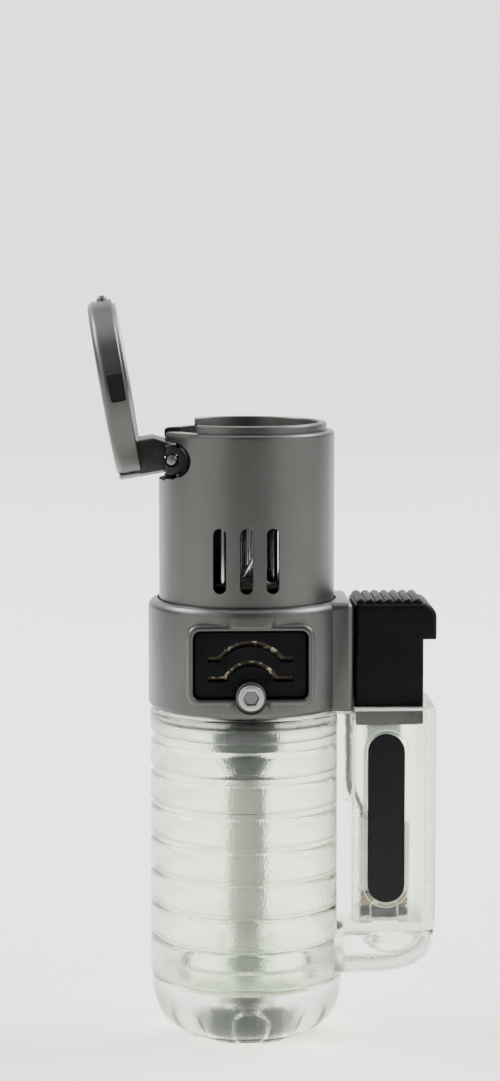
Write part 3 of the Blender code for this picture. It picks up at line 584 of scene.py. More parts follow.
def make_tank():
    tank = turned("tank_shell", tank_outline(), 128, closed=True)
    block = housing_outline(TANK_BORE, HOUSING_RIGHT, HOUSING_HALF, 2 * MM)
    join(tank, plate("block", block, HOUSING_BOTTOM, HOUSING_TOP, "Z", 0.35 * MM, 0.35 * MM))
    front = -HOUSING_HALF
    rim = pill(LABEL_CENTRE, LABEL_WIDTH + 1.5 * MM, LABEL_HEIGHT + 1.5 * MM)
    join(tank, plate("label rim", rim, front + 0.5 * MM, front - 0.14 * MM, "Y", 0, 0.12 * MM))
    recess = pill(LABEL_CENTRE, LABEL_WIDTH + 0.5 * MM, LABEL_HEIGHT + 0.5 * MM)
    cavity = rounded_rectangle(mm(21.625, 0), 11.35 * MM, 12.9 * MM, 0.7 * MM, 4)
    floor = 18.3 * MM
    collar_low = (5 * MM, -10 * MM, TANK_TOP)
    collar_high = (COLLAR_HIGH.x + 0.3 * MM, 10 * MM, HOUSING_TOP + 1 * MM)
    cut(
        tank,
        plate("label recess", recess, front - 1 * MM, front + 0.7 * MM),
        plate("cavity", cavity, floor, HOUSING_TOP + 1 * MM, "Z"),
        box("room for the collar", collar_low, collar_high),
        box("lead channel", mm(14.9, -2.8, 37), mm(16.4, -1.4, 53)),
    )
    tab = rounded_rectangle(mm(21, 19.6), 4.2 * MM, 3.4 * MM, 0.5 * MM, 4)
    join(tank, plate("piezo tab", tab, -6.9 * MM, -4.4 * MM, "Y", 0, 0.3 * MM))
    add(cleaned(tank), "casing", "clear_body", CLEAR, "fuel_tank")
    reach, rim_radius = (LABEL_HEIGHT - LABEL_WIDTH) / 2, LABEL_WIDTH / 2 + 0.2 * MM

    def on_label_rim(p):
        beyond = max(abs(p.z - LABEL_CENTRE[1]) - reach, 0)
        distance = Vector((p.x - LABEL_CENTRE[0], beyond)).length
        proud = front - 0.2 * MM < p.y < front - 0.005 * MM
        return proud and rim_radius < distance < rim_radius + 0.7 * MM

    def on_edge(p):
        if p.x < TANK_RADIUS + 0.4 * MM:
            return False
        near_top = HOUSING_TOP - 0.36 * MM < p.z < HOUSING_TOP - 0.01 * MM
        near_bottom = HOUSING_BOTTOM + 0.01 * MM < p.z < HOUSING_BOTTOM + 0.36 * MM
        along_right = HOUSING_RIGHT - 2 * MM < p.x < HOUSING_RIGHT - 1.45 * MM
        return near_top or near_bottom or (along_right and p.y < front + 0.2 * MM)

    # Painted highlight: the label's rim and the housing's edges are painted whitish to stand for
    # their bright edge lines.
    paint(tank, FROSTED_PAINTED_HIGHLIGHT, lambda p: on_label_rim(p) or on_edge(p))


def foot_outline(inset):
    top = HOUSING_BOTTOM - 0.3 * MM - inset
    bottom = 10.4 * MM + inset
    reach, centre = 13.5 * MM - inset, 15.1 * MM
    points = [(13 * MM, top)]
    for i in range(17):
        angle = radians(90 * i / 16)
        drop = (top - bottom) * sin(angle) ** 0.8
        points.append((centre + reach * cos(angle) ** 0.6, top - drop))
    return points + [(13 * MM, bottom)]


def make_foot():
    foot = plate("foot_shell", foot_outline, -7.9 * MM, 7.9 * MM, "Y", 1.0 * MM, 1.0 * MM, 5)
    top = HOUSING_BOTTOM - 0.3 * MM
    across, depth = 5 * MM, 4.3 * MM
    angles = [radians(6 * i) for i in range(1, 16)]
    bowl = [(0, -depth)] + [(across * sin(a), -depth * cos(a)) for a in angles]
    bowl = turned("bowl", bowl + in_mm([(5.3, 0.6), (0, 0.6)]), 64)
    bowl.data.transform(Matrix.Translation((22 * MM, 0, top)))
    cut(foot, bowl, rod("tank room", TANK_RADIUS + 0.3 * MM, 5 * MM, 20 * MM, steps=128))
    add(cleaned(foot), "casing", "clear_body", CLEAR, "housing_foot")


CUP_TOP, RING_RADIUS = 9.3 * MM, 9.6 * MM
FLUTES, FLUTE_DEPTH, FLUTE_TOP, FLUTE_HALF = 8, 0.42 * MM, 6.6 * MM, 2.5 * MM


def cup_outline():
    centre, reach = 8.8 * MM, -local_box("base_cup")[0].x - 8.8 * MM
    drop = CUP_TOP - 0.8 * MM
    points = in_mm([(11.6, 12), (13.05, 12), (13.2, 11.85), (13.2, CUP_TOP / MM)])
    for i in range(22):
        angle = radians(82 * i / 21)
        points.append((centre + reach * cos(angle) ** 0.83, CUP_TOP - drop * sin(angle) ** 0.83))
    points += [(RING_RADIUS + 0.4 * MM, 0.75 * MM)]
    points += arc((RING_RADIUS - 0.2 * MM, 0.2 * MM), 0.2 * MM, 0, -90, 3)
    inside = [(6.3, 0), (6.1, 0.25), (6.1, 5.8), (3.3, 5.8), (3.3, 15.2), (4.3, 15.2), (4.4, 15.1)]
    inside += [(4.4, 8.6), (4.7, 8.15), (5.2, 8.0), (10.8, 8.0), (11.4, 8.2), (11.6, 8.6)]
    return points + in_mm(inside)


def fluted(angle, radius, height):
    """Shallow arched flutes round the cup's lower outside."""
    if radius < 6.5 * MM or height > FLUTE_TOP + 1 * MM:
        return radius
    pitch, edge = 2 * pi / FLUTES, 0.6 * MM
    across = ((angle + pi / 2 + pitch / 2) % pitch - pitch / 2) * 11 * MM
    top = FLUTE_TOP - across**2 / (3.0 * MM)
    inward = min(max((top - height) / edge, 0), 1)
    sideways = min(max((FLUTE_HALF - abs(across)) / edge, 0), 1)
    depth = inward * sideways
    return radius - FLUTE_DEPTH * depth * depth * (3 - 2 * depth)


def make_cup():
    cup = turned("base_shell", cup_outline(), 256, closed=True, shape=fluted)
    add(cup, "casing", "clear_body", CLEAR, "base_cup")


def make_dial():
    """The gas adjuster: a knurled rim, a slotted face below and a bore for the refill valve."""
    low, high = local_box("flame_adjuster")
    outer, bore = high.x, 2.5 * MM
    grips, chamfer = 36, 0.35 * MM

    def knurled(angle, radius, height):
        if radius < outer - 0.2 * MM:
            return radius
        return radius - 0.16 * MM * (0.5 - 0.5 * cos(grips * angle)) ** 0.5

    points = [(bore, high.z), (outer - chamfer, high.z), (outer, high.z - chamfer)]
    points += [(outer, low.z + chamfer), (outer - chamfer, low.z)]
    points += [(bore + 0.3 * MM, low.z), (bore, low.z + 0.3 * MM)]
    dial = turned("dial", points, 288, closed=True, shape=knurled)
    for side in (-1, 1):
        near, far = sorted((side * 3.1 * MM, side * 5.1 * MM))
        slot_low, slot_high = (near, -0.45 * MM, low.z - 1 * MM), (far, 0.45 * MM, low.z + 0.9 * MM)
        cut(dial, box("driver slot", slot_low, slot_high))
    add(dial, "adjuster", "grey_plastic", GREY, "flame_adjuster")


def make_regulator():
    ring_low, ring_high = local_box("regulator_o_ring")
    middle, half = (ring_low.z + ring_high.z) / 2, (ring_high.z - ring_low.z) / 2
    outline = arc((2.6 * MM, middle), half * 0.9, 0, 345, 23)
    o_ring = turned("o_ring", outline, 64, closed=True)
    add(o_ring, "casing", "black_rubber", RUBBER, "regulator_o_ring")
    low, high = local_box("gas_column")
    outer, bore = high.x, 1.6 * MM
    points = [(bore, high.z), (outer - 0.25 * MM, high.z), (outer, high.z - 0.25 * MM)]
    for height in (38.2, 31.0, 24.0, 18.6):
        for rise, fall in ((0.2, 0), (0.1, 0.12), (-0.1, 0.12), (-0.2, 0)):
            points.append((outer - fall * MM, (height + rise) * MM))
    points += [(outer, low.z + 0.2 * MM), (outer - 0.2 * MM, low.z), (bore, low.z)]
    column = turned("column", points, 64, closed=True)
    add(column, "casing", "warm_grey_plastic", WARM_GREY, "gas_column")
    for side in ("left", "right"):
        node = f"locating_pin_{side}"
        low, high = local_box(node)
        radius, centre = (high.x - low.x) / 2, middle_of(low, high)[:2]
        pin = rod(f"pin_{side}", radius, low.z, high.z, "Z", centre, 0.15 * MM, 32)
        add(pin, "casing", "grey_plastic", GREY, node)


def make_refill_valve():
    inside = [(0, 7.6), (1.6, 7.6), (1.6, 1.9), (1.0, 1.9), (0.95, 1.3), (1.25, 1.0), (1.9, 1.0)]
    groove = [(2.1, 1.2), (2.1, 4.0), (2.0, 4.15), (2.0, 4.6), (2.1, 4.75)]
    top = [(2.1, 8.6), (1.9, 8.8), (0, 8.8)]
    body = turned("refill_valve", in_mm(inside + groove + top), 64)
    add(body, "casing", "brass", NICKEL, "refill_valve_body")
    flange = [(0, 3.1), (1.2, 3.1), (1.3, 3.0), (1.3, 2.4), (1.2, 2.3), (0.7, 2.3)]
    mouth = [(0.7, 0.6), (0.55, 0.45), (0.28, 0.45), (0.28, 1.2), (0, 1.2)]
    stem = turned("refill_stem_tip", in_mm(flange + mouth), 48)
    add(stem, "refill_stem", "steel", STEEL, "refill_valve_stem")


def make_outlet_valve():
    inside = [(0, 45.4), (2.2, 45.4), (2.2, 52.4), (1.3, 52.4)]
    neck = [(1.3, 53.2), (3.1, 53.2), (3.3, 53.0), (3.3, 49.45), (5.1, 49.45), (5.3, 49.25)]
    groove = [(5.3, 48.4), (5.0, 48.2), (5.0, 47.7), (5.3, 47.5), (5.3, 44.9), (5.1, 44.55)]
    nose = [(4.0, 43.0), (3.6, 42.7), (3.3, 41.9), (2.2, 40.6), (1.9, 40.5), (0, 40.5)]
    body = turned("outlet_valve", in_mm(inside + neck + groove + nose), 64)
    add(body, "casing", "grey_plastic", GREY, "outlet_valve_body")


# ---- collar and window


def frame_outline():
    """The window's raised frame: a round-cornered rectangle that swells round the screw."""
    width, height = WINDOW_WIDTH + 1.9 * MM, WINDOW_HEIGHT + 1.9 * MM
    corner_steps, swell = 8, 2.8 * MM
    rectangle = rounded_rectangle((0, WINDOW_Z), width, height, 1.9 * MM, corner_steps)
    bottom_left_end = 3 * (corner_steps + 1)

    def outline_at(inset):
        points = rectangle(inset)
        radius = swell - inset
        drop = SCREW_Z - (WINDOW_Z - height / 2 + inset)
        dip = degrees(asin(drop / radius))
        bump = arc((0, SCREW_Z), radius, dip - 180, -dip, 16)
        return points[:bottom_left_end] + bump + points[bottom_left_end:]

    return outline_at


def collar_outline():
    edge, top, bottom = 1.3 * MM, COLLAR_HIGH.z, COLLAR_LOW.z
    points = [(COLLAR_BORE, top)]
    points += arc((COLLAR_RADIUS - edge, top - edge), edge, 90, 0, 8)
    lower = 0.9 * MM
    points += arc((COLLAR_RADIUS - lower, bottom + lower), lower, 0, -90, 6)
    return points + [(COLLAR_BORE, bottom)]


def make_collar():
    collar = turned("collar_shell", collar_outline(), 128, closed=True)
    top, bottom = COLLAR_HIGH.z, COLLAR_LOW.z
    block = housing_outline(9 * MM, COLLAR_HIGH.x, HOUSING_HALF, 1.0 * MM)
    window_frame = frame_outline()
    cut(collar, plate("frame flat", window_frame, -17 * MM, FRAME_FRONT, "Y", 0, 0.6 * MM, 6))
    join(
        collar,
        plate("trigger block", block, bottom, top, "Z", 0.5 * MM, 1.0 * MM),
        plate("window frame", window_frame, -11 * MM, FRAME_FRONT, "Y", 0, 0.55 * MM, 6),
        rod("screw ring", RING_OUTER, -11 * MM, BOSS_FRONT, "Y", (0, SCREW_Z), 0.2 * MM),
    )
    window = rounded_rectangle((0, WINDOW_Z), WINDOW_WIDTH, WINDOW_HEIGHT, 1.1 * MM)
    opening = plate("window", window, -10.5 * MM, FRAME_FRONT - 0.01 * MM, "Y", 0, -0.35 * MM)
    room = rod("boss room", RING_OUTER - 0.01 * MM, -17 * MM, -9 * MM, "Y", (0, SCREW_Z))
    cut(opening, room)
    cut(
        collar,
        opening,
        rod("bore", COLLAR_BORE - 0.001 * MM, bottom - 1 * MM, top + 1 * MM, steps=128),
        rod("screw clearance", 1.25 * MM, -17 * MM, -9 * MM, "Y", (0, SCREW_Z)),
        box("lever gap", mm(11, -3.6, 50), mm(17, 2.3, 58.6)),
    )
    add(cleaned(collar), "casing", "satin_gunmetal", GUNMETAL, "collar", angle=30)


def hat_outline(base_z, flat_in, width):
    """outline_at for plate(): a flat, an arch and a flat, as one bent strip."""
    flat_out, rise, overlap = 6.4 * MM, 2.4 * MM, 22
    radius = (flat_in**2 + rise**2) / (2 * rise)
    centre = (0, base_z + rise - radius)
    half_angle = degrees(pi / 2 - asin(flat_in / radius)) - overlap

    def outline_at(inset):
        half = width / 2 - inset
        outer = arc(centre, radius + half, 180 - half_angle, half_angle, 24)
        inner = arc(centre, radius - half, half_angle, 180 - half_angle, 24)
        low, high = base_z - half, base_z + half
        out = flat_out - inset
        outer = [(x, max(z, high)) for x, z in outer]
        inner = [(x, max(z, low)) for x, z in inner]
        return outer + [(out, high), (out, low)] + inner + [(-out, low), (-out, high)]

    return outline_at


def make_window():
    front, back = PLATE_LOW.y, PLATE_HIGH.y
    width, height = WINDOW_WIDTH - 0.5 * MM, WINDOW_HEIGHT - 0.5 * MM
    outline = rounded_rectangle((0, WINDOW_Z), width, height, 0.9 * MM)
    window = plate("window_panel", outline, back, front, "Y", 0, 0.15 * MM)
    cut(window, rod("boss notch", RING_OUTER + 0.04 * MM, -16 * MM, -10 * MM, "Y", (0, SCREW_Z)))
    for base_z, flat_in in ((57.5 * MM, 3.8 * MM), (60.5 * MM, 4.8 * MM)):
        slot = hat_outline(base_z, flat_in, 0.8 * MM)
        cut(window, plate("hat slot", slot, back + 1 * MM, front - 0.01 * MM, "Y", 0, -0.1 * MM))
    add(cleaned(window), "casing", "black_plastic", BLACK, "window_plate")


def make_screw():
    """A cap screw with a hexagonal socket."""
    front, seat = SCREW_LOW.y, BOSS_FRONT - 0.1 * MM
    centre = (0, SCREW_Z)
    outline = disc(centre, SCREW_RADIUS, 64)
    head = plate("cap_screw", outline, seat, front, "Y", 0.05 * MM, 0.28 * MM)
    join(head, rod("shank", 0.95 * MM, seat - 0.2 * MM, SCREW_HIGH.y, "Y", centre, 0.1 * MM))
    across, depth = 1.1 * MM, 0.3 * MM
    socket, floor = disc(centre, across, 6), front + depth
    cut(head, plate("hex socket", socket, floor, front - 0.005 * MM, "Y", 0, -0.14 * MM, 2))
    add(head, "casing", "steel", SCREW_STEEL, "hex_screw")

    def within(p, reach):
        return Vector((p.x, p.z - SCREW_Z)).length < reach

    # Painted shade: the socket's floor is painted in the darker nickel and its walls near-black.
    paint(head, NICKEL, lambda p: abs(p.y - floor) < 0.01 * MM and within(p, across))
    walls = front + 0.002 * MM, floor - 0.01 * MM
    paint(head, SOOT_AND_PAINTED_SHADE, lambda p: walls[0] < p.y < walls[1] and within(p, across + 0.1 * MM))


# ---- wind guard, burner and hinge


def guard_outline():
    edge, mouth, lip_radius, bore = 0.6 * MM, 11.2 * MM, 12.3 * MM, 12.6 * MM
    inner, outer = 0.25 * MM, 0.4 * MM
    points = [(mouth, GUARD_HIGH.z - inner)]
    points += arc((mouth + inner, GUARD_HIGH.z - inner), inner, 180, 90, 3)
    points += arc((lip_radius - outer, GUARD_HIGH.z - outer), outer, 90, 0, 5)
    points += [(lip_radius, GUARD_SHOULDER)]
    points += arc((GUARD_RADIUS - edge, GUARD_SHOULDER - edge), edge, 88, 0, 8)
    points += [(GUARD_RADIUS, height * MM) for height in (93.2, 86.5, 81.0, 69.4)]
    points += [(GUARD_RADIUS, GUARD_LOW.z), (bore, GUARD_LOW.z)]
    ceiling = GUARD_SHOULDER - 1.25 * MM
    return points + [(bore, ceiling), (mouth, ceiling)]


def make_guard():
    guard = turned("guard_shell", guard_outline(), 160, closed=True)
    pocket, ear_side, arm_side, slot_left = 2.75 * MM, 7.3 * MM, 4.9 * MM, -15 * MM
    for row in (-1, 1):
        for i in (-1, 0, 1):
            centre = (row * 0.6 * MM + i * 4.0 * MM, 75.2 * MM)
            start, end = row * 11 * MM, row * GUARD_RADIUS + row * 0.02 * MM
            slot = pill(centre, 1.95 * MM, 9.9 * MM, 12)
            cut(guard, plate("slot", slot, start, end, "Y", 0, -0.16 * MM, 3))
        cut(guard, rod("ear pocket", pocket, row * ear_side, row * 16 * MM, "Y", PIN))
    ears_low = (slot_left, -ear_side, PIN_Z - 3 * MM)
    ears_high = (LIP_LEFT, ear_side, GUARD_SHOULDER - 1.5 * MM)
    slot_low = (slot_left, -arm_side, PIN_Z - 3.3 * MM)
    slot_high = (LIP_LEFT + 0.01 * MM, arm_side, GUARD_SHOULDER + 1 * MM)
    cut(
        guard,
        box("lip end", (-16 * MM, -14 * MM, GUARD_SHOULDER), (LIP_LEFT, 14 * MM, 97 * MM)),
        box("ear room", ears_low, ears_high),
        box("arm slot", slot_low, slot_high),
    )
    add(cleaned(guard), "casing", "satin_gunmetal", GUNMETAL, "wind_guard", angle=30)
    inside = GUARD_RADIUS - 0.75 * MM
    # Painted shade: the guard's inside below the shoulder is painted near-black, for the shade inside
    # it as well as heat-darkening.
    paint(guard, SOOT_AND_PAINTED_SHADE, lambda p: p.xy.length < inside and p.z < GUARD_SHOULDER - 1.2 * MM)
    middle = Vector((PIN_X, 0, PIN_Z))

    def in_pocket(p):
        beside_pin = (p - middle).xz.length < pocket + 0.01 * MM and abs(p.y) > 6 * MM
        return beside_pin and p.xy.length < GUARD_RADIUS - 0.1 * MM

    # Painted shade: the pocket walls round each hinge ear are painted near-black.
    paint(guard, SOOT_AND_PAINTED_SHADE, in_pocket)


def about_pin(points):
    return [(PIN_X + across, PIN_Z + up) for across, up in points]


def pin_bore():
    return rod("pin bore", PIN_RADIUS + 0.25 * MM, -9 * MM, 9 * MM, "Y", PIN)


def ear_outline(inset):
    radius, left = 2.3 * MM - inset, -1.0 * MM + inset
    corner = radius * 0.92
    return about_pin([(left, corner), *arc((0, 0), radius, 88, -88, 20), (left, -corner)])


def make_hinge():
    leg_left, leg_right, foot_z = -10.2 * MM, -9.3 * MM, 85.2 * MM
    bracket = box("hinge_ears", (leg_left, -7 * MM, foot_z), (leg_right, 7 * MM, foot_z + 1 * MM))
    for side in (-1, 1):
        near, far = side * 5.3 * MM, side * 7.0 * MM
        low, high = sorted((near, far))
        leg = box("leg", (leg_left, low, foot_z + 0.5 * MM), (leg_right, high, PIN_Z))
        ends = side * 5.6 * MM, side * 6.4 * MM
        backing = rod("pocket backing", 3.1 * MM, *ends, "Y", PIN)
        combine("INTERSECT", backing, [rod("guard room", 12.3 * MM, 84 * MM, 96 * MM, steps=96)])
        ear = plate("ear", ear_outline, near, far, "Y", 0.05 * MM, 0.3 * MM, 4)
        join(bracket, leg, backing, ear)
    cut(bracket, pin_bore())
    add(cleaned(bracket), "casing", "dark_gunmetal", DARK_METAL, "hinge_bracket")
    ends = PIN_LOW.y, PIN_HIGH.y
    pin = plate("pin", disc(PIN, PIN_RADIUS, 40), *ends, "Y", 0.45 * MM, 0.45 * MM, 5)
    add(pin, "casing", "steel", NICKEL, "hinge_pin")
    low, high = local_box("lid_spring")
    outer = (high.z - low.z) / 2
    spring = coil("torsion_spring", PIN, outer, 0.25 * MM, low.y, high.y, 5, "Y")
    add(spring, "casing", "steel", STEEL, "lid_spring")


def wire(name, path, radius):
    """A round wire along a path, with capped ends, as a mesh."""
    curve = bpy.data.curves.new(name, "CURVE")
    curve.dimensions = "3D"
    curve.bevel_depth = radius
    curve.bevel_resolution = 3
    curve.use_fill_caps = True
    spline = curve.splines.new("POLY")
    spline.points.add(len(path) - 1)
    for point, corner in zip(spline.points, path):
        point.co = (*corner, 1)
    curved = linked(name, curve)
    graph = bpy.context.evaluated_depsgraph_get()
    mesh = bpy.data.meshes.new_from_object(curved.evaluated_get(graph))
    bpy.data.objects.remove(curved)
    return cleaned(linked(name, mesh), 0.002 * MM)


def coil(name, centre, outer, wire_radius, start, end, coils, axis="Z", steps=24):
    """A coil spring whose wire stays between start and end along its axis."""
    first, last, radius = start + wire_radius, end - wire_radius, outer - wire_radius
    path = []
    for i in range(coils * steps + 1):
        angle = 2 * pi * i / steps
        across = (centre[0] + radius * cos(angle), centre[1] + radius * sin(angle))
        path.append(place(across, first + (last - first) * i / (coils * steps), axis))
    return wire(name, path, wire_radius)


def make_burner():
    for i in range(3):
        node = f"burner_tube_{i + 1}"
        low, high = local_box(node)
        centre = Vector((*middle_of(low, high)[:2], 0))
        outer = (high.x - low.x) / 2
        bore, bottom, top = outer - 0.4 * MM, low.z, high.z
        points = [(bore, top - 0.2 * MM), (bore + 0.1 * MM, top), (outer - 0.1 * MM, top)]
        points += [(outer, top - 0.2 * MM), (outer, bottom + 0.2 * MM)]
        points += [(outer - 0.15 * MM, bottom), (bore, bottom)]
        tube = turned(f"jet_{i + 1}", points, 72, closed=True)
        add(tube, "casing", "chrome", CHROME, node, offset=AXIS + centre)
        node = f"burner_nozzle_{i + 1}"
        low, high = local_box(node)
        rim = (high.x - low.x) / 2
        points = [(0.5 * MM, high.z), (0.75 * MM, high.z), (rim - 0.5 * MM, high.z - 0.35 * MM)]
        points += [(rim, high.z - 0.35 * MM), (rim, low.z), (0.5 * MM, low.z)]
        tip = turned(f"jet_tip_{i + 1}", points, 48, closed=True)
        add(tip, "casing", "brass", BRASS, node, offset=AXIS + centre)


# ---- lid


def opened(obj):
    """Turns a lid piece, made closed, about the hinge pin to where the lid rests open."""
    to_pin = Matrix.Translation((PIN_X, 0, PIN_Z))
    turn = Euler((0, -LID_OPEN, 0)).to_matrix().to_4x4()
    obj.data.transform(to_pin @ turn @ to_pin.inverted())
    return obj


def shifted(obj, x):
    obj.data.transform(Matrix.Translation((x, 0, 0)))
    return obj


def make_lid():
    edge, wall = 1.1 * MM, 0.45 * MM
    inner, roof = LID_RADIUS - wall, LID_TOP - 0.6 * MM
    dome = 0.3 * MM
    outline = [(0, LID_TOP)]
    for i in range(1, 9):
        radius = (LID_RADIUS - edge) * i / 8
        outline.append((radius, LID_TOP - dome * (radius / LID_RADIUS) ** 2))
    last = outline[-1][1]
    outline += arc((LID_RADIUS - edge, last - edge), edge, 80, 0, 9)
    outline.append((LID_RADIUS, LID_SKIRT + 0.15 * MM))
    outline += [(LID_RADIUS - 0.12 * MM, LID_SKIRT), (inner, LID_SKIRT), (inner, roof - 0.8 * MM)]
    outline += [(inner - 0.8 * MM, roof), (0, roof)]
    lid = shifted(turned("lid_shell", outline, 128), LID_X)
    size = 0.85 * MM
    nub = turned("nub", in_mm([(0, -0.6), (0.85, -0.6)]) + arc((0, 0), size, 0, 90, 6), 32)
    nub.data.transform(Matrix.Rotation(pi / 2, 4, "Y"))
    nub.data.transform(Matrix.Translation((LID_X + LID_RADIUS - 0.1 * MM, 0, 96.2 * MM)))
    join(lid, nub)
    notch_x, notch_z = 1.25 * MM, (LID_SKIRT + LID_TOP) / 2 - 0.6 * MM
    notch_width, notch_height = 4.7 * MM, 2.2 * MM
    notch = rounded_rectangle((notch_x, notch_z), notch_width, notch_height, 0.45 * MM, 5)
    notch_floor = -LID_RADIUS + 0.3 * MM
    low = LID_SKIRT - 1 * MM
    room_high = (-7.5 * MM, 4.9 * MM, roof - 0.02 * MM)
    strap_left, strap_side, strap_depth = PIN_X - 1.85 * MM, 4.5 * MM, 0.9 * MM
    strap_low = (strap_left, -strap_side, PIN_Z + 0.8 * MM)
    strap_high = (strap_left + strap_depth, strap_side, LID_TOP - 0.45 * MM)
    cut(
        lid,
        box("lid end", (LID_LEFT - 3 * MM, -8 * MM, low), (LID_LEFT, 8 * MM, LID_TOP + 1 * MM)),
        box("arm room", (LID_LEFT - 3 * MM, -4.9 * MM, low), room_high),
        plate("catch notch", notch, notch_floor, -LID_RADIUS - 0.02 * MM, "Y", 0, -0.12 * MM),
    )
    join(lid, box("strap", strap_low, strap_high, 0.3 * MM))
    cleaned(lid)
    half_width, half_height = notch_width / 2 + 0.05 * MM, notch_height / 2 + 0.05 * MM

    def in_notch(p):
        out = Vector((p.x - LID_X, p.y)).length
        in_front = p.y < 0 and abs(p.x - notch_x) < half_width and abs(p.z - notch_z) < half_height
        return in_front and 12.9 * MM < out < LID_RADIUS - 0.03 * MM

    def on_strap(p):
        return p.x < strap_left + strap_depth + 0.05 * MM and abs(p.y) > strap_side - 0.35 * MM

    centres = [face.center.copy() for face in lid.data.polygons]
    notched, strapped = map(in_notch, centres), map(on_strap, centres)
    add(opened(lid), "lid", "satin_gunmetal", GUNMETAL, "lid", angle=30)
    # Painted shade: the catch notch's floor is painted near-black.
    choose(lid, SOOT_AND_PAINTED_SHADE, notched)
    choose(lid, LINER_STEEL, strapped)
    liner = [(0, 97.5), (12.4, 97.5), (12.78, 97.35), (12.92, 97.0), (12.92, 94.35), (12.82, 94.25)]
    liner += [(12.6, 94.25), (12.52, 94.35), (12.52, 95.6), (12.3, 96.1), (11.8, 96.3), (0, 96.3)]
    liner = shifted(turned("lid_lining", in_mm(liner), 128), LID_X)
    cut(liner, box("liner end", (-16 * MM, -15 * MM, 93 * MM), (-7.5 * MM, 15 * MM, 99 * MM)))
    add(opened(cleaned(liner)), "lid", "steel", LINER_STEEL, "lid_liner")


def arm_outline(inset):
    radius, left = 2.2 * MM - inset, -1.55 * MM + inset
    right, top = 3.6 * MM - inset, 7.5 * MM
    points = [(0.6 * MM, top), (left, 5.0 * MM), (left, 1.6 * MM)]
    points += arc((0, 0), radius, 140, 340, 20)
    return about_pin(points + [(right, 2.2 * MM - inset), (right, top)])


def make_arm():
    arm = plate("lid_arm", arm_outline, -4.6 * MM, 4.6 * MM, "Y", 0.35 * MM, 0.35 * MM)
    end = LID_LEFT + 0.05 * MM
    room_low = (-16 * MM, -9 * MM, LID_SKIRT - 0.3 * MM)
    cut(
        arm,
        pin_bore(),
        rod("spring room", 2.0 * MM, 1.5 * MM, 9 * MM, "Y", PIN),
        box("lid room", room_low, (end, 9 * MM, 99 * MM)),
    )
    add(opened(cleaned(arm)), "lid", "dark_gunmetal", DARK_METAL, "hinge_arm")


# ---- trigger and piezo igniter


def cap_outline(inset):
    """The trigger's cap from the front, without its ridges."""
    left, right = TRIGGER_LOW.x + inset, TRIGGER_HIGH.x - inset
    top = TRIGGER_HIGH.z - 0.75 * MM - inset
    bottom = TRIGGER_LIP + inset
    points = [(left, TRIGGER_LIP - 2 * MM)]
    points += arc((left + 0.5 * MM, top - 0.5 * MM), 0.5 * MM, 180, 90, 5)
    points += arc((right - 2.2 * MM, top - 2.2 * MM), 2.2 * MM, 90, 0, 12)
    points += arc((right - 0.3 * MM, bottom + 0.3 * MM), 0.3 * MM, 0, -90, 4)
    return points + [(STEM_RIGHT - inset, bottom), (STEM_RIGHT - inset, TRIGGER_LIP - 2 * MM)]


def make_trigger():
    half, slope = TRIGGER_HIGH.y, 0.75 * MM
    cap = plate("thumb_trigger", cap_outline, -half, half, "Y", slope, slope, 5)
    ridges, radius, end = 7, 0.82 * MM, half - 0.55 * MM
    left, right = TRIGGER_LOW.x + 0.35 * MM, TRIGGER_HIGH.x - 2.1 * MM
    pitch = (right - left) / ridges
    angles = [2 * pi * k / 24 for k in range(24)]
    for i in range(ridges):
        centre = (left + pitch * (i + 0.5), TRIGGER_HIGH.z - radius)

        def ridge(inset, centre=centre):
            wide, tall = 0.95 * (radius - inset), 0.9 * (radius - inset)
            return [(centre[0] + wide * cos(a), centre[1] + tall * sin(a)) for a in angles]

        join(cap, plate("ridge", ridge, -end, end, "Y", 0.6 * MM, 0.6 * MM, 4))
    stem_half = 6.3 * MM
    middle = ((TRIGGER_LOW.x + STEM_RIGHT) / 2, 0)
    stem = rounded_rectangle(middle, STEM_RIGHT - TRIGGER_LOW.x, 2 * stem_half, 0.45 * MM, 5)
    join(cap, plate("stem", stem, TRIGGER_LOW.z, TRIGGER_LIP + 1 * MM, "Z", 0.3 * MM))
    add(cleaned(cap), "trigger", "black_plastic", BLACK, "trigger", angle=35)
    low, high = local_box("piezo_plunger")
    plunger = box("plunger", low, high, 0.7 * MM, 4)
    add(plunger, "trigger", "grey_plastic", WHITE, "piezo_plunger")


def make_piezo():
    low, high = local_box("piezo_case")
    case = box("piezo_body", low, high, 0.45 * MM)
    wall, depth, half = 0.75 * MM, 0.15 * MM, 0.2 * MM
    bore_low = (low.x + wall, low.y + wall, low.z + 0.8 * MM)
    bore_high = (high.x - wall, high.y - wall, high.z + 1 * MM)
    cut(case, box("plunger bore", bore_low, bore_high, 0.3 * MM))
    for height in (25.2 * MM, 31.6 * MM):
        for y in (-high.y, high.y):
            groove_low = (low.x - 1 * MM, y - depth, height - half)
            groove_high = (high.x + 1 * MM, y + depth, height + half)
            cut(case, box("groove", groove_low, groove_high))
    add(cleaned(case, 0.01 * MM), "casing", "warm_grey_plastic", PALE, "piezo_case")
    for node, name, slot, material in (
        ("piezo_contact", "contact_block", "copper", COPPER),
        ("piezo_base", "piezo_seat", "black_plastic", BLACK),
    ):
        add(box(name, *local_box(node), 0.35 * MM), "casing", slot, material, node)


def make_label():
    outline = pill(LABEL_CENTRE, LABEL_WIDTH, LABEL_HEIGHT)
    label = plate("label_pill", outline, LABEL_HIGH.y, LABEL_LOW.y, "Y", 0, 0.12 * MM)
    add(label, "casing", "label_black", LABEL, "label_plate")


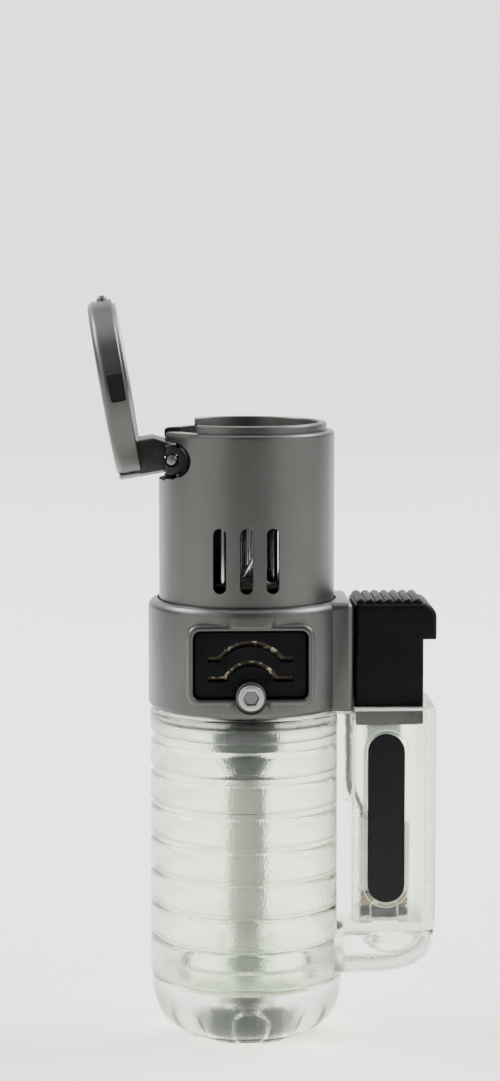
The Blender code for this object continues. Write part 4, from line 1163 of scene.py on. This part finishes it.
def make_springs():
    """The inner springs, as coils, and the gas hose, as a plain rod."""
    springs = (
        ("refill_coil", "refill_valve_spring", "refill_press", 3, 0.15 * MM, "top"),
        ("outlet_coil", "outlet_valve_spring", "outlet_valve_lift", 4, 0.18 * MM, "top"),
        ("piezo_coil", "piezo_spring", "trigger_press", 4, 0.2 * MM, "bottom"),
        ("hose", "gas_hose", "outlet_valve_lift", 0, 0, "top"),
    )
    for name, node, joint, coils, wire_radius, fixed_end in springs:
        low, high = local_box(node)
        centre, outer = middle_of(low, high)[:2], (high.y - low.y) / 2
        if coils:
            obj = coil(name, centre, outer, wire_radius, low.z, high.z, coils)
            add(obj, "casing", "steel", STEEL, node)
        else:
            obj = rod(name, outer, low.z, high.z, side=centre)
            add(obj, "casing", "black_rubber", RUBBER, node)
        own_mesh(obj)


def finish_cad_nodes():
    """The CAD pieces that stay, with their materials."""
    kept = {
        "regulator_stem": WARM_GREY,
        "regulator_seal": RUBBER,
        "outlet_valve_stem": BRASS,
        "chassis": BLACK,
        "valve_lever": STEEL,
        "lever_pin": STEEL,
        # The window backing carries painted shade and painted glints.
        "window_backing": BRASS_PAINTED_SHADE_AND_GLINTS,
        # Painted shade: the burner block gets a near-black brass so the slots look dark inside.
        "burner_block": BRASS_IN_PAINTED_SHADE,
        "electrode": STEEL,
        "ignition_lead": LEAD,
    }
    for node, material in kept.items():
        obj = frame["nodes"][node]
        obj.data.materials.clear()
        obj.data.materials.append(material)
        smooth(obj)


# ---- studio


def studio_material(name, colour):
    finish = Finish(name, colour, 0.0, 0.75)
    finish.mottle(60, 0.012).uneven(30, 0.04).grain(0.8, 0.01)
    return finish.material


def make_floor():
    """A pale floor that sweeps up behind the lighter."""
    back, bend, height, half = 1.9, 0.7, 2.4, 2.6
    profile = [(-half, 0.0), *arc((back - bend, bend), bend, -90, 0, 15), (back, height)]
    bm = bmesh.new()
    rows = [[bm.verts.new((x, y, z)) for y, z in profile] for x in (-half, half)]
    for i in range(len(profile) - 1):
        bm.faces.new((rows[0][i], rows[1][i], rows[1][i + 1], rows[0][i + 1]))
    floor = smooth(object_from("floor", bm), 60)
    floor.data.materials.append(studio_material("pale floor", (0.8, 0.8, 0.79)))
    floor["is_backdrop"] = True


def softbox(name, place_at, target, size, power):
    """A square lamp that faces its target, with its size in metres and its power in watts."""
    data = bpy.data.lights.new(name, "AREA")
    data.size = size
    data.energy = power
    lamp = linked(name, data)
    lamp.location = place_at
    lamp.rotation_euler = (Vector(target) - Vector(place_at)).to_track_quat("-Z", "Y").to_euler()


def make_lights():
    middle = (AXIS.x, AXIS.y, 0.06)
    softbox("key", (-0.58, -0.34, 0.3), middle, 0.8, 3.9)
    softbox("fill", (0.6, -0.34, 0.26), middle, 0.8, 3.6)
    softbox("top", (0.0, 0.05, 0.75), middle, 0.6, 3.0)
    near, far = (AXIS.x, 0.5, 0.0), (AXIS.x, 1.9, 0.7)
    for name, side in (("left", -1), ("right", 1)):
        softbox(f"backdrop {name}", (side * 0.8, 0.15, 0.8), near, 0.5, 18)
        softbox(f"wall {name}", (side * 1.3, 0.7, 1.5), far, 0.7, 42)
    world = bpy.data.worlds.new("studio")
    world.use_nodes = True
    background = world.node_tree.nodes["Background"]
    background.inputs["Color"].default_value = (0.97, 1.0, 0.97, 1)
    background.inputs["Strength"].default_value = 0.2
    bpy.context.scene.world = world


def make_camera():
    """A long lens a little above level, slightly left of straight in front."""
    distance, height = 440 * MM, 126.3 * MM
    around, tilt, yaw = radians(-2.5), radians(6.4), radians(0.068)
    data = bpy.data.cameras.new("camera")
    data.lens, data.sensor_fit = 95.6, "VERTICAL"
    data.sensor_width = data.sensor_height = 36
    camera = linked("camera", data)
    camera.location = AXIS + Vector((distance * sin(around), -distance * cos(around), height))
    camera.rotation_euler = (pi / 2 - tilt, 0, around - yaw)
    bpy.context.scene.camera = camera


make_tank()
make_foot()
make_cup()
make_dial()
make_regulator()
make_refill_valve()
make_outlet_valve()
make_collar()
make_window()
make_screw()
make_guard()
make_hinge()
make_burner()
make_lid()
make_arm()
make_trigger()
make_piezo()
make_label()
make_springs()
finish_cad_nodes()
make_floor()
make_lights()
make_camera()

for box_of in (CAD_BOX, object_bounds()):
    json.dumps([list(corner) for corner in box_of]) + "\n"
